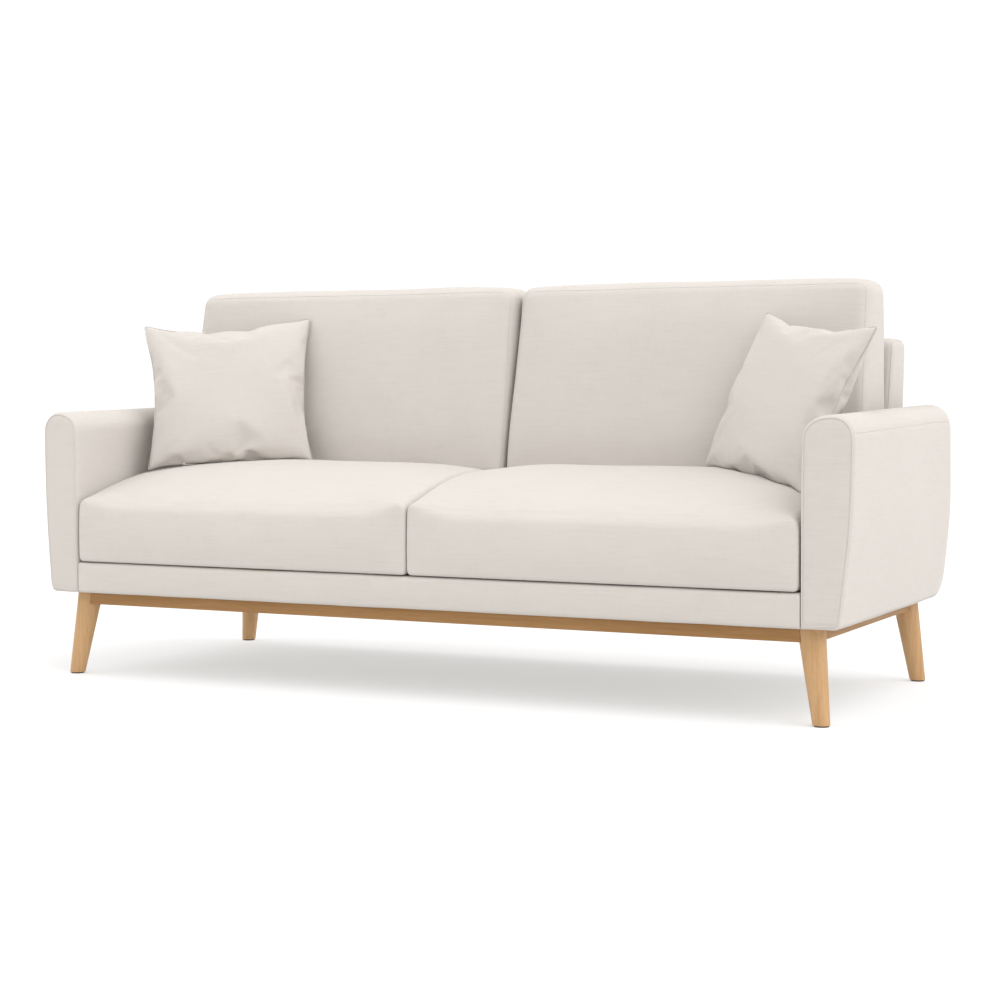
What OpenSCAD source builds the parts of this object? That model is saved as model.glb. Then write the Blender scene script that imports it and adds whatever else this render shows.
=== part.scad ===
// Two-seat-cushion sofa: upholstered arms and back on a splayed wooden base,
// with loose seat cushions, back cushions and throw pillows.
// Millimetres, +Z up, front towards -Y, origin on the floor at the middle.

/* [Overall] */
// Width over the arms near their tops
arm_outer_w = 1900; // [1860:5:1960]
// Width over the arms at their lower edge
arm_foot_w = 1870; // [1850:5:1880]
// Clear width between the arms
seat_w = 1712; // [1700:2:1720]
// Depth from the front of the arms to their backs
depth = 804; // [796:2:820]
// Height of the arms at the front
arm_h = 602; // [590:2:610]
// Extra height of the arms at the back
arm_rise = 20; // [0:1:26]
// Height of the upholstered back
back_h = 767; // [755:1:775]
// Height of the underside of the upholstery
shell_z = 190; // [188:1:190]

/* [Base] */
// Radius of a leg at the floor
foot_r = 17; // [15:0.5:19]
// Radius of a leg at the top
leg_top_r = 28; // [26:0.5:29]
// Half spread of the feet from side to side
foot_x = 890; // [885:1:895]
// Half spread of the feet from front to back
foot_y = 360; // [356:1:364]
// Half spread of the leg tops from side to side
leg_x = 863; // [861:1:865]
// Half spread of the leg tops from front to back
leg_y = 342; // [340:1:344]
// Thickness of the apron boards
apron_t = 24; // [22:1:26]
// Height of the apron boards
apron_h = 28; // [24:1:32]
// Thickness of the foot glides
glide_t = 3; // [2:0.5:4]

/* [Upholstery] */
// Thickness of the sewn covers
cover_t = 2; // [1.5:0.25:2.5]
// Height of the deck that the seat cushions lie on
deck_z = 261; // [260:0.5:262]
// Front face of the back cushions, at seat level
lounge_y = 31; // [25:1:40]
// How far the back cushions' faces lean back from seat level to their tops
back_lean = 76; // [70:1:80]
// Height of the tops of the back cushions
cushion_top = 890; // [880:1:895]
// Height of the seat's crown
crown_z = 486; // [480:1:488]

/* [Pillows] */
// Width of a throw pillow
pillow_w = 390; // [370:5:400]
// Height of a throw pillow
pillow_h = 365; // [350:5:380]
// Lean of the throw pillows
pillow_lean = 20; // [18:1:22]

/* [Hidden] */

$fn = 48;
fit_gap = 0.3;
wood = "BurlyWood";
hardwood = "Peru";
linen = "Linen";
foam = "LightYellow";
steel = "Silver";

front_y = -depth / 2;
rear_y = depth / 2;
seat_x = seat_w / 2;
arm_x = arm_outer_w / 2;
arm_foot_x = arm_foot_w / 2;

// Base frame
base_top = shell_z - 0.4;
apron_z = base_top - apron_h;
apron_y = leg_y + 23;
apron_x = leg_x + 17;
bolt_z = 176;
block_near = 34;
block_far = 62;
block_z = 163;
block_top = 188;
screw_spot = [leg_x - 45, 23 - leg_y];
screw_r = 2.5;

// Seat frame
rail_t = 22;
rail_z = shell_z + 6;
rail_top = deck_z - 3;
rail_front_y = front_y + 6;
rail_rear_y = 326;
side_rail_x = seat_x - 0.3;
rail_x = side_rail_x - rail_t;
spring_z = 240;
spring_x = [110, 290, 470, 650];
spring_half_w = 25;
spring_turns = 10;
wire_r = 1.9;
pad_t = 9;
deck_rear_y = 190;
rail_cover_y = -345;

// Arms
arm_core_x = 880;
arm_core_w = 40;
arm_post_w = 60;
arm_post_y = [-389, 240];
arm_core_top = 558;
arm_low_rail = 256;
arm_high_rail = 508;
arm_bolt_y = [-250, 170];
arm_bolt_z = 225;

// Back
back_x = 849;
back_front_low = 193;
back_front_high = 288;
back_rear_low = 352;
back_rear_high = 388;
post_w = 60;
post_t = 42;
post_x = [-830, -230, 170, 770];
post_z = 200;
post_top = 740;
post_foot_y = 254;
post_slope = 63 / 540;
web_z = [340, 430, 520, 610];

// Cushions
cushion_bottom = deck_z + 1;
seat_gap = 1.5;
seat_side_gap = 2.5;
seat_edge_z = 400;
seat_side_z = 432;
seat_rear_z = 456;
back_bottom = 458;
back_rear_y = 225.5;
back_cushion_w = 850;
back_cushion_x = 2;
rake = atan(back_lean / (cushion_top - back_bottom));
zip_w = 600;
zip_h = 3.6;
seat_zip_z = 350;
back_zip_z = 520;
slider_l = 14;
pillow_zip_w = 240;
pillow_core_t = 104;
pillow_edge_t = 8;
pillow_inset = 24;
left_pillow = [-668, -62, 650];
left_pillow_turn = [-27, 3];
right_pillow = [715, -94, 634];
right_pillow_turn = [36, -7];

// ---- helpers -------------------------------------------------------------

// Points along an arc about c, from angle a0 to angle a1
function arc(c, r, a0, a1, n = 8) =
    [for (i = [0:n]) let (a = a0 + (a1 - a0) * i / n) [c.x + r * cos(a), c.y + r * sin(a)]];

// A box between two opposite corners
module box(a, b) {
    translate(a) cube(b - a);
}

// Extrudes an outline in Y and Z from x0 to x1
module along_x(x0, x1) {
    translate([x0, 0, 0]) rotate([90, 0, 90]) linear_extrude(x1 - x0) children();
}

// Extrudes an outline in X and Z from y0 to y1
module along_y(y0, y1) {
    translate([0, y1, 0]) rotate([90, 0, 0]) linear_extrude(y1 - y0) children();
}

// Puts a part made for the right side on the left
module on_left() {
    mirror([1, 0, 0]) children();
}

// Repeats a part made for the front right corner at all four
module all_corners() {
    for (sx = [0, 1], sy = [0, 1]) at_corner(sx, sy) children();
}

// Puts a part made for the front right corner at one of the four
module at_corner(left, rear) {
    mirror([left, 0, 0]) mirror([0, rear, 0]) children();
}

// ---- wooden base -----------------------------------------------------------

leg_run = [leg_x - foot_x, foot_y - leg_y];
leg_tilt = atan(norm(leg_run) / base_top);
leg_turn = atan2(leg_run.y, leg_run.x);
leg_len = norm([leg_run.x, leg_run.y, base_top]);
leg_taper = (leg_top_r - foot_r) / leg_len;

// The splayed cone of the front right leg, past both ends
module leg_cone(extra = 0) {
    over = 8;
    translate([foot_x, -foot_y, 0])
        rotate([0, leg_tilt, leg_turn])
            translate([0, 0, -over])
                cylinder(h = leg_len + 2 * over,
                         r1 = foot_r - over * leg_taper + extra,
                         r2 = leg_top_r + over * leg_taper + extra);
}

// A rod on the corner's diagonal, between two distances from the leg's centre
module diagonal_rod(from, to, r, sides = 48) {
    translate([leg_x, -leg_y, bolt_z])
        rotate([0, 0, 135])
            translate([from, 0, 0])
                rotate([0, 90, 0]) cylinder(h = to - from, r = r, $fn = sides);
}

module leg() {
    color(wood)
        difference() {
            intersection() {
                leg_cone();
                box([foot_x - 120, -foot_y - 60, glide_t], [foot_x + 60, -foot_y + 120, base_top]);
            }
            diagonal_rod(-13, 40, 3.05);
        }
}

module leg_bolts() {
    color(steel)
        all_corners() {
            diagonal_rod(-12, block_far + 16, 3);
            diagonal_rod(block_far + 0.4, block_far + 2, 8);
            diagonal_rod(block_far + 2, block_far + 7, 5.8, 6);
        }
}

module leg_glides() {
    lean = glide_t / 2 / base_top;
    color("DimGray")
        all_corners()
            translate([foot_x + leg_run.x * lean, -foot_y + leg_run.y * lean, 0])
                cylinder(h = glide_t, r = foot_r - 2);
}

// A front or rear board, coped to the legs
module cross_apron() {
    color(wood)
        difference() {
            box([-leg_x, -apron_y, apron_z], [leg_x, -apron_y + apron_t, base_top]);
            leg_cone(0.2);
            on_left() leg_cone(0.2);
        }
}

// The right-hand board, coped to the legs
module side_apron() {
    color(wood)
        difference() {
            box([apron_x - apron_t, -leg_y, apron_z], [apron_x, leg_y, base_top]);
            leg_cone(0.2);
            mirror([0, 1, 0]) leg_cone(0.2);
        }
}

// Where a line across the corner, d from the leg's centre, meets the boards' inner faces
function on_side_board(d) = let (x = apron_x - apron_t - 0.2)
    [x, d * sqrt(2) - leg_y + x - leg_x];
function on_cross_board(d) = let (y = apron_t + 0.2 - apron_y)
    [leg_x - d * sqrt(2) + y + leg_y, y];

module apron_corner_blocks() {
    color(hardwood)
        all_corners()
            difference() {
                translate([0, 0, block_z])
                    linear_extrude(block_top - block_z)
                        polygon([on_side_board(block_near), on_side_board(block_far),
                                 on_cross_board(block_far), on_cross_board(block_near)]);
                diagonal_rod(0, 90, 3.3);
                screw_hole(screw_r + 0.3);
            }
}

// The front right base screw's hole, right through the corner block and seat frame
module screw_hole(r) {
    translate([screw_spot.x, screw_spot.y, block_z - 10]) cylinder(h = 60, r = r);
}

module base_screws() {
    head_h = 3;
    color(steel)
        all_corners()
            translate([screw_spot.x, screw_spot.y, block_z - head_h]) {
                cylinder(h = head_h, r = 5.5);
                cylinder(h = 50, r = screw_r);
            }
}

// ---- seat frame ------------------------------------------------------------

module seat_rail_front() {
    color(hardwood)
        box([-rail_x + 0.2, rail_front_y, rail_z], [rail_x - 0.2, rail_front_y + rail_t, rail_top]);
}

module seat_rail_rear() {
    color(hardwood)
        difference() {
            box([-rail_x + 0.2, rail_rear_y - rail_t, rail_z],
                [rail_x - 0.2, rail_rear_y, rail_top]);
            for (x = post_x) back_bolt_hole(x, 4.3);
            for (left = [0, 1]) at_corner(left, 1) screw_hole(screw_r + 0.05);
        }
}

module seat_side_rail() {
    color(hardwood)
        difference() {
            box([rail_x, rail_front_y, rail_z], [side_rail_x, rail_rear_y, rail_top]);
            arm_bolt_holes(4.3);
        }
}

module seat_centre_rail() {
    color(hardwood)
        box([-15, rail_front_y + rail_t + 0.2, rail_z],
            [15, rail_rear_y - rail_t - 0.2, spring_z - 8]);
}

// Triangular blocks in the seat frame's front corners
module seat_corner_blocks() {
    reach = 90;
    x = rail_x - 0.2;
    y = rail_front_y + rail_t + 0.2;
    color(hardwood)
        for (left = [0, 1])
            at_corner(left, 0)
                difference() {
                    translate([0, 0, rail_z])
                        linear_extrude(spring_z + 4 - rail_z)
                            polygon([[x, y], [x, y + reach], [x - reach, y]]);
                    screw_hole(screw_r + 0.05);
                }
}

function wire_point(t, y0, y1) =
    [spring_half_w * sin(360 * spring_turns * t), y0 + (y1 - y0) * t, 0];

// Sweeps a thin five-sided wire along points that all lie in one plane
module wire(points, r, sides = 5) {
    count = len(points);
    rings = [for (i = [0:count - 1])
        let (a = points[max(i - 1, 0)],
             b = points[min(i + 1, count - 1)],
             d = (b - a) / norm(b - a),
             side = [d.y, -d.x, 0])
        [for (k = [0:sides - 1]) points[i] + r * (cos(360 * k / sides) * side
            + sin(360 * k / sides) * [0, 0, 1])]];
    vertices = [for (ring = rings) each ring];
    walls = [for (i = [0:count - 2], k = [0:sides - 1])
        let (n = (k + 1) % sides)
        [i * sides + k, i * sides + n, (i + 1) * sides + n, (i + 1) * sides + k]];
    ends = [[for (k = [sides - 1:-1:0]) k], [for (k = [0:sides - 1]) (count - 1) * sides + k]];
    polyhedron(vertices, concat(ends, walls));
}

clip_gap = 2.2;
clip_t = 8;
spring_front_y = rail_front_y + rail_t + clip_t + clip_gap + 0.2;
spring_rear_y = rail_rear_y - rail_t - clip_t - clip_gap - 0.2;

module seat_springs() {
    steps = spring_turns * 6;
    path = [for (i = [0:steps]) wire_point(i / steps, spring_front_y, spring_rear_y)];
    color(steel)
        for (side = [-1, 1], x = spring_x)
            translate([side * x, 0, spring_z]) wire(path, wire_r);
}

module spring_clips() {
    clip = [22, clip_t, 12];
    color("Gray")
        for (side = [-1, 1], x = spring_x,
             y = [spring_front_y - clip_gap - clip_t, spring_rear_y + clip_gap])
            translate([side * x - clip.x / 2, y, spring_z - clip.z / 2]) cube(clip);
}

module deck_pad() {
    z = deck_z - 2.4 - pad_t;
    color("Gainsboro")
        box([-rail_x + 1, rail_cover_y + 1, z], [rail_x - 1, deck_rear_y - 2, z + pad_t]);
}

module deck_cloth() {
    color(linen)
        box([-seat_x + 0.5, rail_cover_y + 0.5, deck_z - cover_t],
            [seat_x - 0.5, deck_rear_y, deck_z]);
}

// ---- covers of the front rail and the underside -----------------------------

function rail_outline(e) = concat(
    [[rail_cover_y, deck_z - e]],
    arc([front_y + 8, deck_z - 8], 8 - e, 90, 180, 4),
    arc([front_y + 8, shell_z + 8], 8 - e, 180, 270, 4),
    [[rail_cover_y, shell_z + e]]);

module front_rail_cover() {
    color(linen)
        difference() {
            along_x(-seat_x + 0.4, seat_x - 0.4) polygon(rail_outline(0));
            along_x(-seat_x - 1, seat_x + 1)
                translate([0.01, 0]) polygon(rail_outline(cover_t));
        }
}

module dust_cover() {
    z = base_top - 1.2;
    color("WhiteSmoke")
        difference() {
            box([-apron_x + apron_t + 0.4, -apron_y + apron_t + 0.4, z],
                [apron_x - apron_t - 0.4, apron_y - apron_t - 0.4, base_top]);
            all_corners() {
                leg_cone(0.4);
                screw_hole(screw_r + 1);
            }
        }
}

// ---- arms --------------------------------------------------------------------

arm_top_r = 40;
arm_foot_r = 16;
arm_heel_r = 60;
arm_heel_y = 339;
arm_shoulder_r = 62;

// Cross-section of the right arm, in X and Z, inset by e, with its top at height top
function arm_section(e, top) = concat(
    [[seat_x + e, shell_z + e]],
    arc([arm_foot_x - arm_foot_r, shell_z + arm_foot_r], arm_foot_r - e, -90, 0, 6),
    [for (t = [0.15:0.17:0.83])
        [arm_foot_x - e + (arm_x - arm_foot_x) * sin(90 * t),
         shell_z + arm_foot_r + (top - arm_top_r - shell_z - arm_foot_r) * t]],
    arc([arm_x - arm_top_r, top - arm_top_r], arm_top_r - e, 0, 90),
    arc([seat_x + arm_top_r, top - arm_top_r], arm_top_r - e, 90, 180));

// Side outline of an arm, in Y and Z, inset by e
function arm_profile(e) = concat(
    [[front_y + e, shell_z + e]],
    arc([arm_heel_y, shell_z + arm_heel_r], arm_heel_r - e, -90, -3),
    arc([rear_y - arm_shoulder_r, arm_h + arm_rise - arm_shoulder_r], arm_shoulder_r - e, 0, 90),
    [[front_y + e, arm_h + arm_rise - e]]);

module arm_body(e) {
    intersection() {
        hull() {
            along_y(front_y + e, front_y + e + 0.1) polygon(arm_section(e, arm_h));
            along_y(rear_y - e - 0.1, rear_y - e) polygon(arm_section(e, arm_h + arm_rise));
        }
        along_x(seat_x - 1, arm_x + 20) polygon(arm_profile(e));
    }
}

// Holes, or the shanks of the bolts, that join the right arm to the seat frame
module arm_bolt_holes(r) {
    for (y = arm_bolt_y)
        translate([rail_x - 6, y, arm_bolt_z]) rotate([0, 90, 0]) cylinder(h = 80, r = r);
}

// The space in the right arm that its frame stands in, open at the bottom
module arm_core_space(gap) {
    box([arm_core_x - gap, arm_post_y[0] - gap, shell_z - 1],
        [arm_core_x + arm_core_w + gap, arm_post_y[1] + arm_post_w + gap, arm_core_top + gap]);
}

module arm_cover() {
    color(linen)
        difference() {
            arm_body(0);
            arm_body(cover_t);
            arm_core_space(fit_gap);
            arm_bolt_holes(4.4);
        }
}

module arm_foam() {
    color(foam)
        difference() {
            arm_body(cover_t + fit_gap);
            arm_core_space(fit_gap);
            arm_bolt_holes(4.4);
        }
}

module arm_frame() {
    x0 = arm_core_x;
    x1 = arm_core_x + arm_core_w;
    z0 = shell_z + 1;
    y_front = arm_post_y[0] + arm_post_w + 0.2;
    y_rear = arm_post_y[1] - 0.2;
    color(hardwood) {
        for (y = arm_post_y) box([x0, y, z0], [x1, y + arm_post_w, arm_core_top]);
        difference() {
            box([x0, y_front, z0], [x1, y_rear, arm_low_rail]);
            arm_bolt_holes(4.05);
        }
        box([x0, y_front, arm_high_rail], [x1, y_rear, arm_core_top]);
    }
    // Fibreboard that closes the frame
    color("Tan")
        box([x0 + 17, y_front, arm_low_rail + 0.2], [x1 - 17, y_rear, arm_high_rail - 0.2]);
}

module frame_bolts() {
    color(steel) {
        for (left = [0, 1])
            at_corner(left, 0) {
                intersection() {
                    arm_bolt_holes(4);
                    box([0, -500, 0], [arm_core_x + 22, 500, 400]);
                }
                for (y = arm_bolt_y)
                    translate([rail_x - 6, y, arm_bolt_z])
                        rotate([0, 90, 0]) cylinder(h = 5.8, r = 8);
            }
        for (x = post_x) {
            back_bolt_hole(x, 4);
            translate([x + post_w / 2, rail_rear_y + 0.2, arm_bolt_z])
                rotate([-90, 0, 0]) cylinder(h = 1.4, r = 8);
        }
    }
}

// ---- back --------------------------------------------------------------------

// Side outline of the back, in Y and Z, inset by e: its rear flap covers the seat's rear rail
function back_outline(e) = concat(
    [[back_front_low + e, deck_z + 1 + e],
     [rail_rear_y + 2.6 + e, deck_z + 1 + e],
     [rail_rear_y + 2.6 + e, shell_z + e],
     [back_rear_low - e, shell_z + e]],
    arc([back_rear_high - 22, back_h - 22], 22 - e, 0, 90),
    arc([back_front_high + 22, back_h - 22], 22 - e, 90, 170));

// Front outline of the back, in X and Z, inset by e
function back_front(e) = concat(
    [[-back_x + e, shell_z - 1], [back_x - e, shell_z - 1]],
    arc([back_x - 16, back_h - 16], 16 - e, 0, 90),
    arc([-back_x + 16, back_h - 16], 16 - e, 90, 180));

module back_body(e) {
    intersection() {
        along_x(-back_x + e, back_x - e) polygon(back_outline(e));
        along_y(100, 420) polygon(back_front(e));
    }
}

function post_front(z) = post_foot_y + post_slope * (z - post_z);

// A raked bar of the back frame, from x0 to x1 and z0 to z1
module back_bar(x0, x1, z0, z1) {
    along_x(x0, x1)
        polygon([[post_front(z0), z0], [post_front(z0) + post_t, z0],
                 [post_front(z1) + post_t, z1], [post_front(z1), z1]]);
}

// The space in the back that its frame stands in, open at the bottom
module back_core_space() {
    along_x(post_x[0] - fit_gap, post_x[3] + post_w + fit_gap)
        polygon([[250, deck_z - 1], [326, deck_z - 1], [364, post_top + 3], [311, post_top + 3]]);
}

// Hole, or the bolt's shank, that joins one back post to the rear rail
module back_bolt_hole(x, r) {
    translate([x + post_w / 2, rail_rear_y + 1, arm_bolt_z])
        rotate([90, 0, 0]) cylinder(h = 52, r = r);
}

module back_cover() {
    color(linen)
        difference() {
            back_body(0);
            back_body(cover_t);
            back_core_space();
        }
}

module back_foam() {
    color(foam)
        difference() {
            back_body(cover_t + fit_gap);
            back_core_space();
        }
}

module back_frame() {
    color(hardwood) {
        for (x = post_x)
            difference() {
                back_bar(x, x + post_w, post_z, post_top);
                back_bolt_hole(x, 4.05);
            }
        for (i = [0:2], z = [[270, 310], [690, post_top]])
            back_bar(post_x[i] + post_w + 0.2, post_x[i + 1] - 0.2, z[0], z[1]);
    }
}

module back_webbing() {
    strap_h = 55;
    color("DarkKhaki")
        for (z = web_z)
            along_x(post_x[0] + 1, post_x[3] + post_w - 1)
                polygon([[post_front(z) - 2.4, z], [post_front(z) - 0.4, z],
                         [post_front(z + strap_h) - 0.4, z + strap_h],
                         [post_front(z + strap_h) - 2.4, z + strap_h]]);
}

// ---- seat cushions -------------------------------------------------------------

seat_x0 = seat_gap;
seat_x1 = seat_x - seat_side_gap;
crown_y = -90;

// Side outline of a seat cushion, in Y and Z, inset by e
function seat_side(e) = concat(
    arc([deck_rear_y - 15, cushion_bottom + 15], 15 - e, -90, 0, 4),
    arc([deck_rear_y - 15, seat_rear_z - 15], 15 - e, 0, 90, 4),
    [for (t = [0:0.25:1])
        [lounge_y - 6 + (crown_y - lounge_y + 6) * t,
         seat_rear_z - e + (crown_z - seat_rear_z) * (1 - cos(180 * t)) / 2]],
    [for (t = [0.2:0.2:0.9])
        [crown_y + (front_y + 40 - crown_y) * t,
         seat_edge_z - 4 - e + (crown_z - seat_edge_z + 4) * cos(90 * t)]],
    arc([front_y + 36, seat_edge_z - 34], 34 - e, 80, 180, 6),
    arc([front_y + 18, cushion_bottom + 16], 16 - e, 180, 270, 4));

// Front outline of the right seat cushion, in X and Z, inset by e
function seat_front(e) = concat(
    arc([seat_x0 + 16, cushion_bottom + 16], 16 - e, 180, 270, 4),
    arc([seat_x1 - 16, cushion_bottom + 16], 16 - e, 270, 360, 4),
    [for (t = [0:1 / 12:1])
        [seat_x1 - e + (seat_x0 - seat_x1 + 2 * e) * t,
         seat_side_z - e + (crown_z + 1 - seat_side_z) * pow(max(sin(180 * t), 0), 0.5)]]);

module seat_body(e) {
    intersection() {
        along_x(seat_x0 + e, seat_x1 - e) polygon(seat_side(e));
        along_y(front_y, deck_rear_y) polygon(seat_front(e));
    }
}

// The slit that the cover's zip closes, at x0, in a rear face at y and height z
module zip_slit(x0, y, z, w) {
    box([x0, y - 5, z - zip_h / 2], [x0 + w, y + 5, z + zip_h / 2]);
}

// A closed zip chain that fills its slit
module zip_chain(x0, y, z, w) {
    gap = 0.2;
    color("Ivory")
        box([x0 + gap, y - cover_t, z - zip_h / 2 + gap],
            [x0 + w - gap, y + 1, z + zip_h / 2 - gap]);
}

// A zip slider with its pull tab, behind a rear face at y
module zip_slider(x, y, z) {
    color(steel) {
        box([x, y + 1.3, z - 5], [x + slider_l, y + 4.5, z + 5]);
        box([x + 4, y + 4.5, z - 26], [x + slider_l - 4, y + 6, z + 3]);
    }
}

seat_zip_x = seat_x0 + 126;

module seat_cover() {
    color(linen)
        difference() {
            seat_body(0);
            seat_body(cover_t);
            zip_slit(seat_zip_x, deck_rear_y, seat_zip_z, zip_w);
        }
}

module seat_core() {
    color(foam) seat_body(cover_t + fit_gap + 3);
}

module seat_zip() {
    zip_chain(seat_zip_x, deck_rear_y, seat_zip_z, zip_w);
}

module seat_slider() {
    zip_slider(seat_zip_x + 6, deck_rear_y, seat_zip_z);
}

// ---- back cushions -------------------------------------------------------------

// Side outline of a back cushion, in Y and Z, inset by e: upright behind, raked in front
function lounge_side(e) = concat(
    arc([back_rear_y - 20, back_bottom + 20], 20 - e, -90, 0, 5),
    arc([back_rear_y - 28, cushion_top - 28], 28 - e, 0, 90, 6),
    arc([lounge_y + back_lean + 24, cushion_top - 30], 30 - e, 90, 180 - rake, 6),
    arc([lounge_y + 24, back_bottom + 22], 22 - e, 180 - rake, 270, 6));

// Front outline of the right back cushion, in X and Z, inset by e
function lounge_front(e) = concat(
    arc([back_cushion_x + 18, back_bottom + 18], 18 - e, 180, 270, 4),
    arc([back_cushion_x + back_cushion_w - 18, back_bottom + 18], 18 - e, 270, 360, 4),
    arc([back_cushion_x + back_cushion_w - 24, cushion_top - 24], 24 - e, 0, 90, 5),
    arc([back_cushion_x + 24, cushion_top - 24], 24 - e, 90, 180, 5));

module lounge_body(e) {
    intersection() {
        along_x(back_cushion_x + e, back_cushion_x + back_cushion_w - e) polygon(lounge_side(e));
        along_y(0, 300) polygon(lounge_front(e));
    }
}

lounge_zip_x = back_cushion_x + 120;

module back_cushion_cover() {
    color(linen)
        difference() {
            lounge_body(0);
            lounge_body(cover_t);
            zip_slit(lounge_zip_x, back_rear_y, back_zip_z, zip_w);
        }
}

module back_cushion_core() {
    color(foam) lounge_body(cover_t + fit_gap + 3);
}

module back_zip() {
    zip_chain(lounge_zip_x, back_rear_y, back_zip_z, zip_w);
}

module back_slider() {
    zip_slider(lounge_zip_x + 6, back_rear_y, back_zip_z);
}

// ---- throw pillows -------------------------------------------------------------

// Places a pillow made upright, facing the front, about the origin
module place_pillow(centre, turn) {
    translate(centre)
        rotate([0, 0, -turn.x])
            rotate([-pillow_lean, 0, 0])
                rotate([0, -turn.y, 0]) children();
}

// A pillow's plump body, inset by e
module pillow_body(e) {
    w = pillow_w - 2 * pillow_inset - 2 * e;
    h = pillow_h - 2 * pillow_inset - 2 * e;
    t = pillow_edge_t - 1.2 * e;
    hull() {
        translate([-w / 2, -t / 2, -h / 2]) cube([w, t, h]);
        rotate([90, 0, 0])
            cylinder(h = pillow_core_t - 2 * e, r = 96, center = true, $fn = 32);
    }
}

pillow_foot = -pillow_h / 2 + pillow_inset;

module pillow_cover() {
    color(linen)
        difference() {
            pillow_body(0);
            pillow_body(cover_t);
            box([-pillow_zip_w / 2, -1.8, pillow_foot - 5],
                [pillow_zip_w / 2, 1.8, pillow_foot + 5]);
        }
}

module pillow_insert() {
    color("White") pillow_body(cover_t + fit_gap + 0.4);
}

module pillow_zip() {
    color("Ivory")
        box([-pillow_zip_w / 2 + 0.2, -1.6, pillow_foot - 1],
            [pillow_zip_w / 2 - 0.2, 1.6, pillow_foot + 1.8]);
}

// The slider at the left end of its zip, with its pull tab along the zip
module pillow_slider() {
    tab_l = 20;
    x = 4 - pillow_zip_w / 2;
    z = pillow_foot - 4;
    color(steel) {
        box([x, -4, z], [x + slider_l, 4, z + 2.7]);
        box([x + slider_l, -2.5, z], [x + slider_l + tab_l, 2.5, z + 1.4]);
    }
}

// ---- the nodes -------------------------------------------------------------------

at_corner(1, 0) leg();  // leg_front_left
leg();  // leg_front_right
at_corner(1, 1) leg();  // leg_rear_left
at_corner(0, 1) leg();  // leg_rear_right
leg_bolts();
leg_glides();
cross_apron();  // apron_front
at_corner(0, 1) cross_apron();  // apron_rear
on_left() side_apron();  // apron_left
side_apron();  // apron_right
apron_corner_blocks();
base_screws();
seat_rail_front();
seat_rail_rear();
on_left() seat_side_rail();  // seat_rail_left
seat_side_rail();  // seat_rail_right
seat_centre_rail();
seat_corner_blocks();
seat_springs();
spring_clips();
deck_pad();
deck_cloth();
front_rail_cover();
dust_cover();
on_left() arm_frame();  // arm_frame_left
arm_frame();  // arm_frame_right
on_left() arm_foam();  // arm_foam_left
arm_foam();  // arm_foam_right
on_left() arm_cover();  // arm_cover_left
arm_cover();  // arm_cover_right
back_frame();
back_webbing();
back_foam();
back_cover();
frame_bolts();
on_left() seat_cover();  // seat_cover_left
on_left() seat_core();  // seat_core_left
on_left() seat_zip();  // seat_zip_left
on_left() seat_slider();  // seat_slider_left
seat_cover();  // seat_cover_right
seat_core();  // seat_core_right
seat_zip();  // seat_zip_right
seat_slider();  // seat_slider_right
on_left() back_cushion_cover();  // back_cushion_cover_left
on_left() back_cushion_core();  // back_cushion_core_left
on_left() back_zip();  // back_zip_left
on_left() back_slider();  // back_slider_left
back_cushion_cover();  // back_cushion_cover_right
back_cushion_core();  // back_cushion_core_right
back_zip();  // back_zip_right
back_slider();  // back_slider_right
place_pillow(left_pillow, left_pillow_turn) pillow_cover();  // pillow_cover_left
place_pillow(left_pillow, left_pillow_turn) pillow_insert();  // pillow_insert_left
place_pillow(left_pillow, left_pillow_turn) pillow_zip();  // pillow_zip_left
place_pillow(left_pillow, left_pillow_turn) pillow_slider();  // pillow_slider_left
place_pillow(right_pillow, right_pillow_turn) pillow_cover();  // pillow_cover_right
place_pillow(right_pillow, right_pillow_turn) pillow_insert();  // pillow_insert_right
place_pillow(right_pillow, right_pillow_turn) pillow_zip();  // pillow_zip_right
place_pillow(right_pillow, right_pillow_turn) on_left() pillow_slider();  // pillow_slider_right
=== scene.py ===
"""Looks of the two-seat sofa: sewn covers, simulated cushions and pillows, zips, wood and studio."""
import math

import bmesh
import bpy
import numpy as np
from mathutils import Matrix, Vector, noise
from mathutils.bvhtree import BVHTree


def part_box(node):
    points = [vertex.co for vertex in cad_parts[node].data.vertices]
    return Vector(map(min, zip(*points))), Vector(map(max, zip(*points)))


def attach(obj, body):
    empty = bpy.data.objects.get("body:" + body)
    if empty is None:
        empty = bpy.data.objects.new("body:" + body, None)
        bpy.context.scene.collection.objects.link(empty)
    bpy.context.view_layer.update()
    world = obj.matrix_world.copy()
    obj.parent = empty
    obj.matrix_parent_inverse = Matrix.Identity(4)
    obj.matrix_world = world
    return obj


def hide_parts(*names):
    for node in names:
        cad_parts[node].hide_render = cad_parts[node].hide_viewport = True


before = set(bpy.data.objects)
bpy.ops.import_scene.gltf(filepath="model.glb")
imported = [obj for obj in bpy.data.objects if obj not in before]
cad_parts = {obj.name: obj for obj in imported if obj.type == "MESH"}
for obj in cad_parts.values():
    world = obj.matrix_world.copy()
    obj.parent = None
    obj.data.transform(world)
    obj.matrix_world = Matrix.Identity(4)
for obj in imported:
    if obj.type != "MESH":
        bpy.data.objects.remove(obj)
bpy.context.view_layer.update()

scene = bpy.context.scene
SIDES = ((-1, "left"), (1, "right"))

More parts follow.
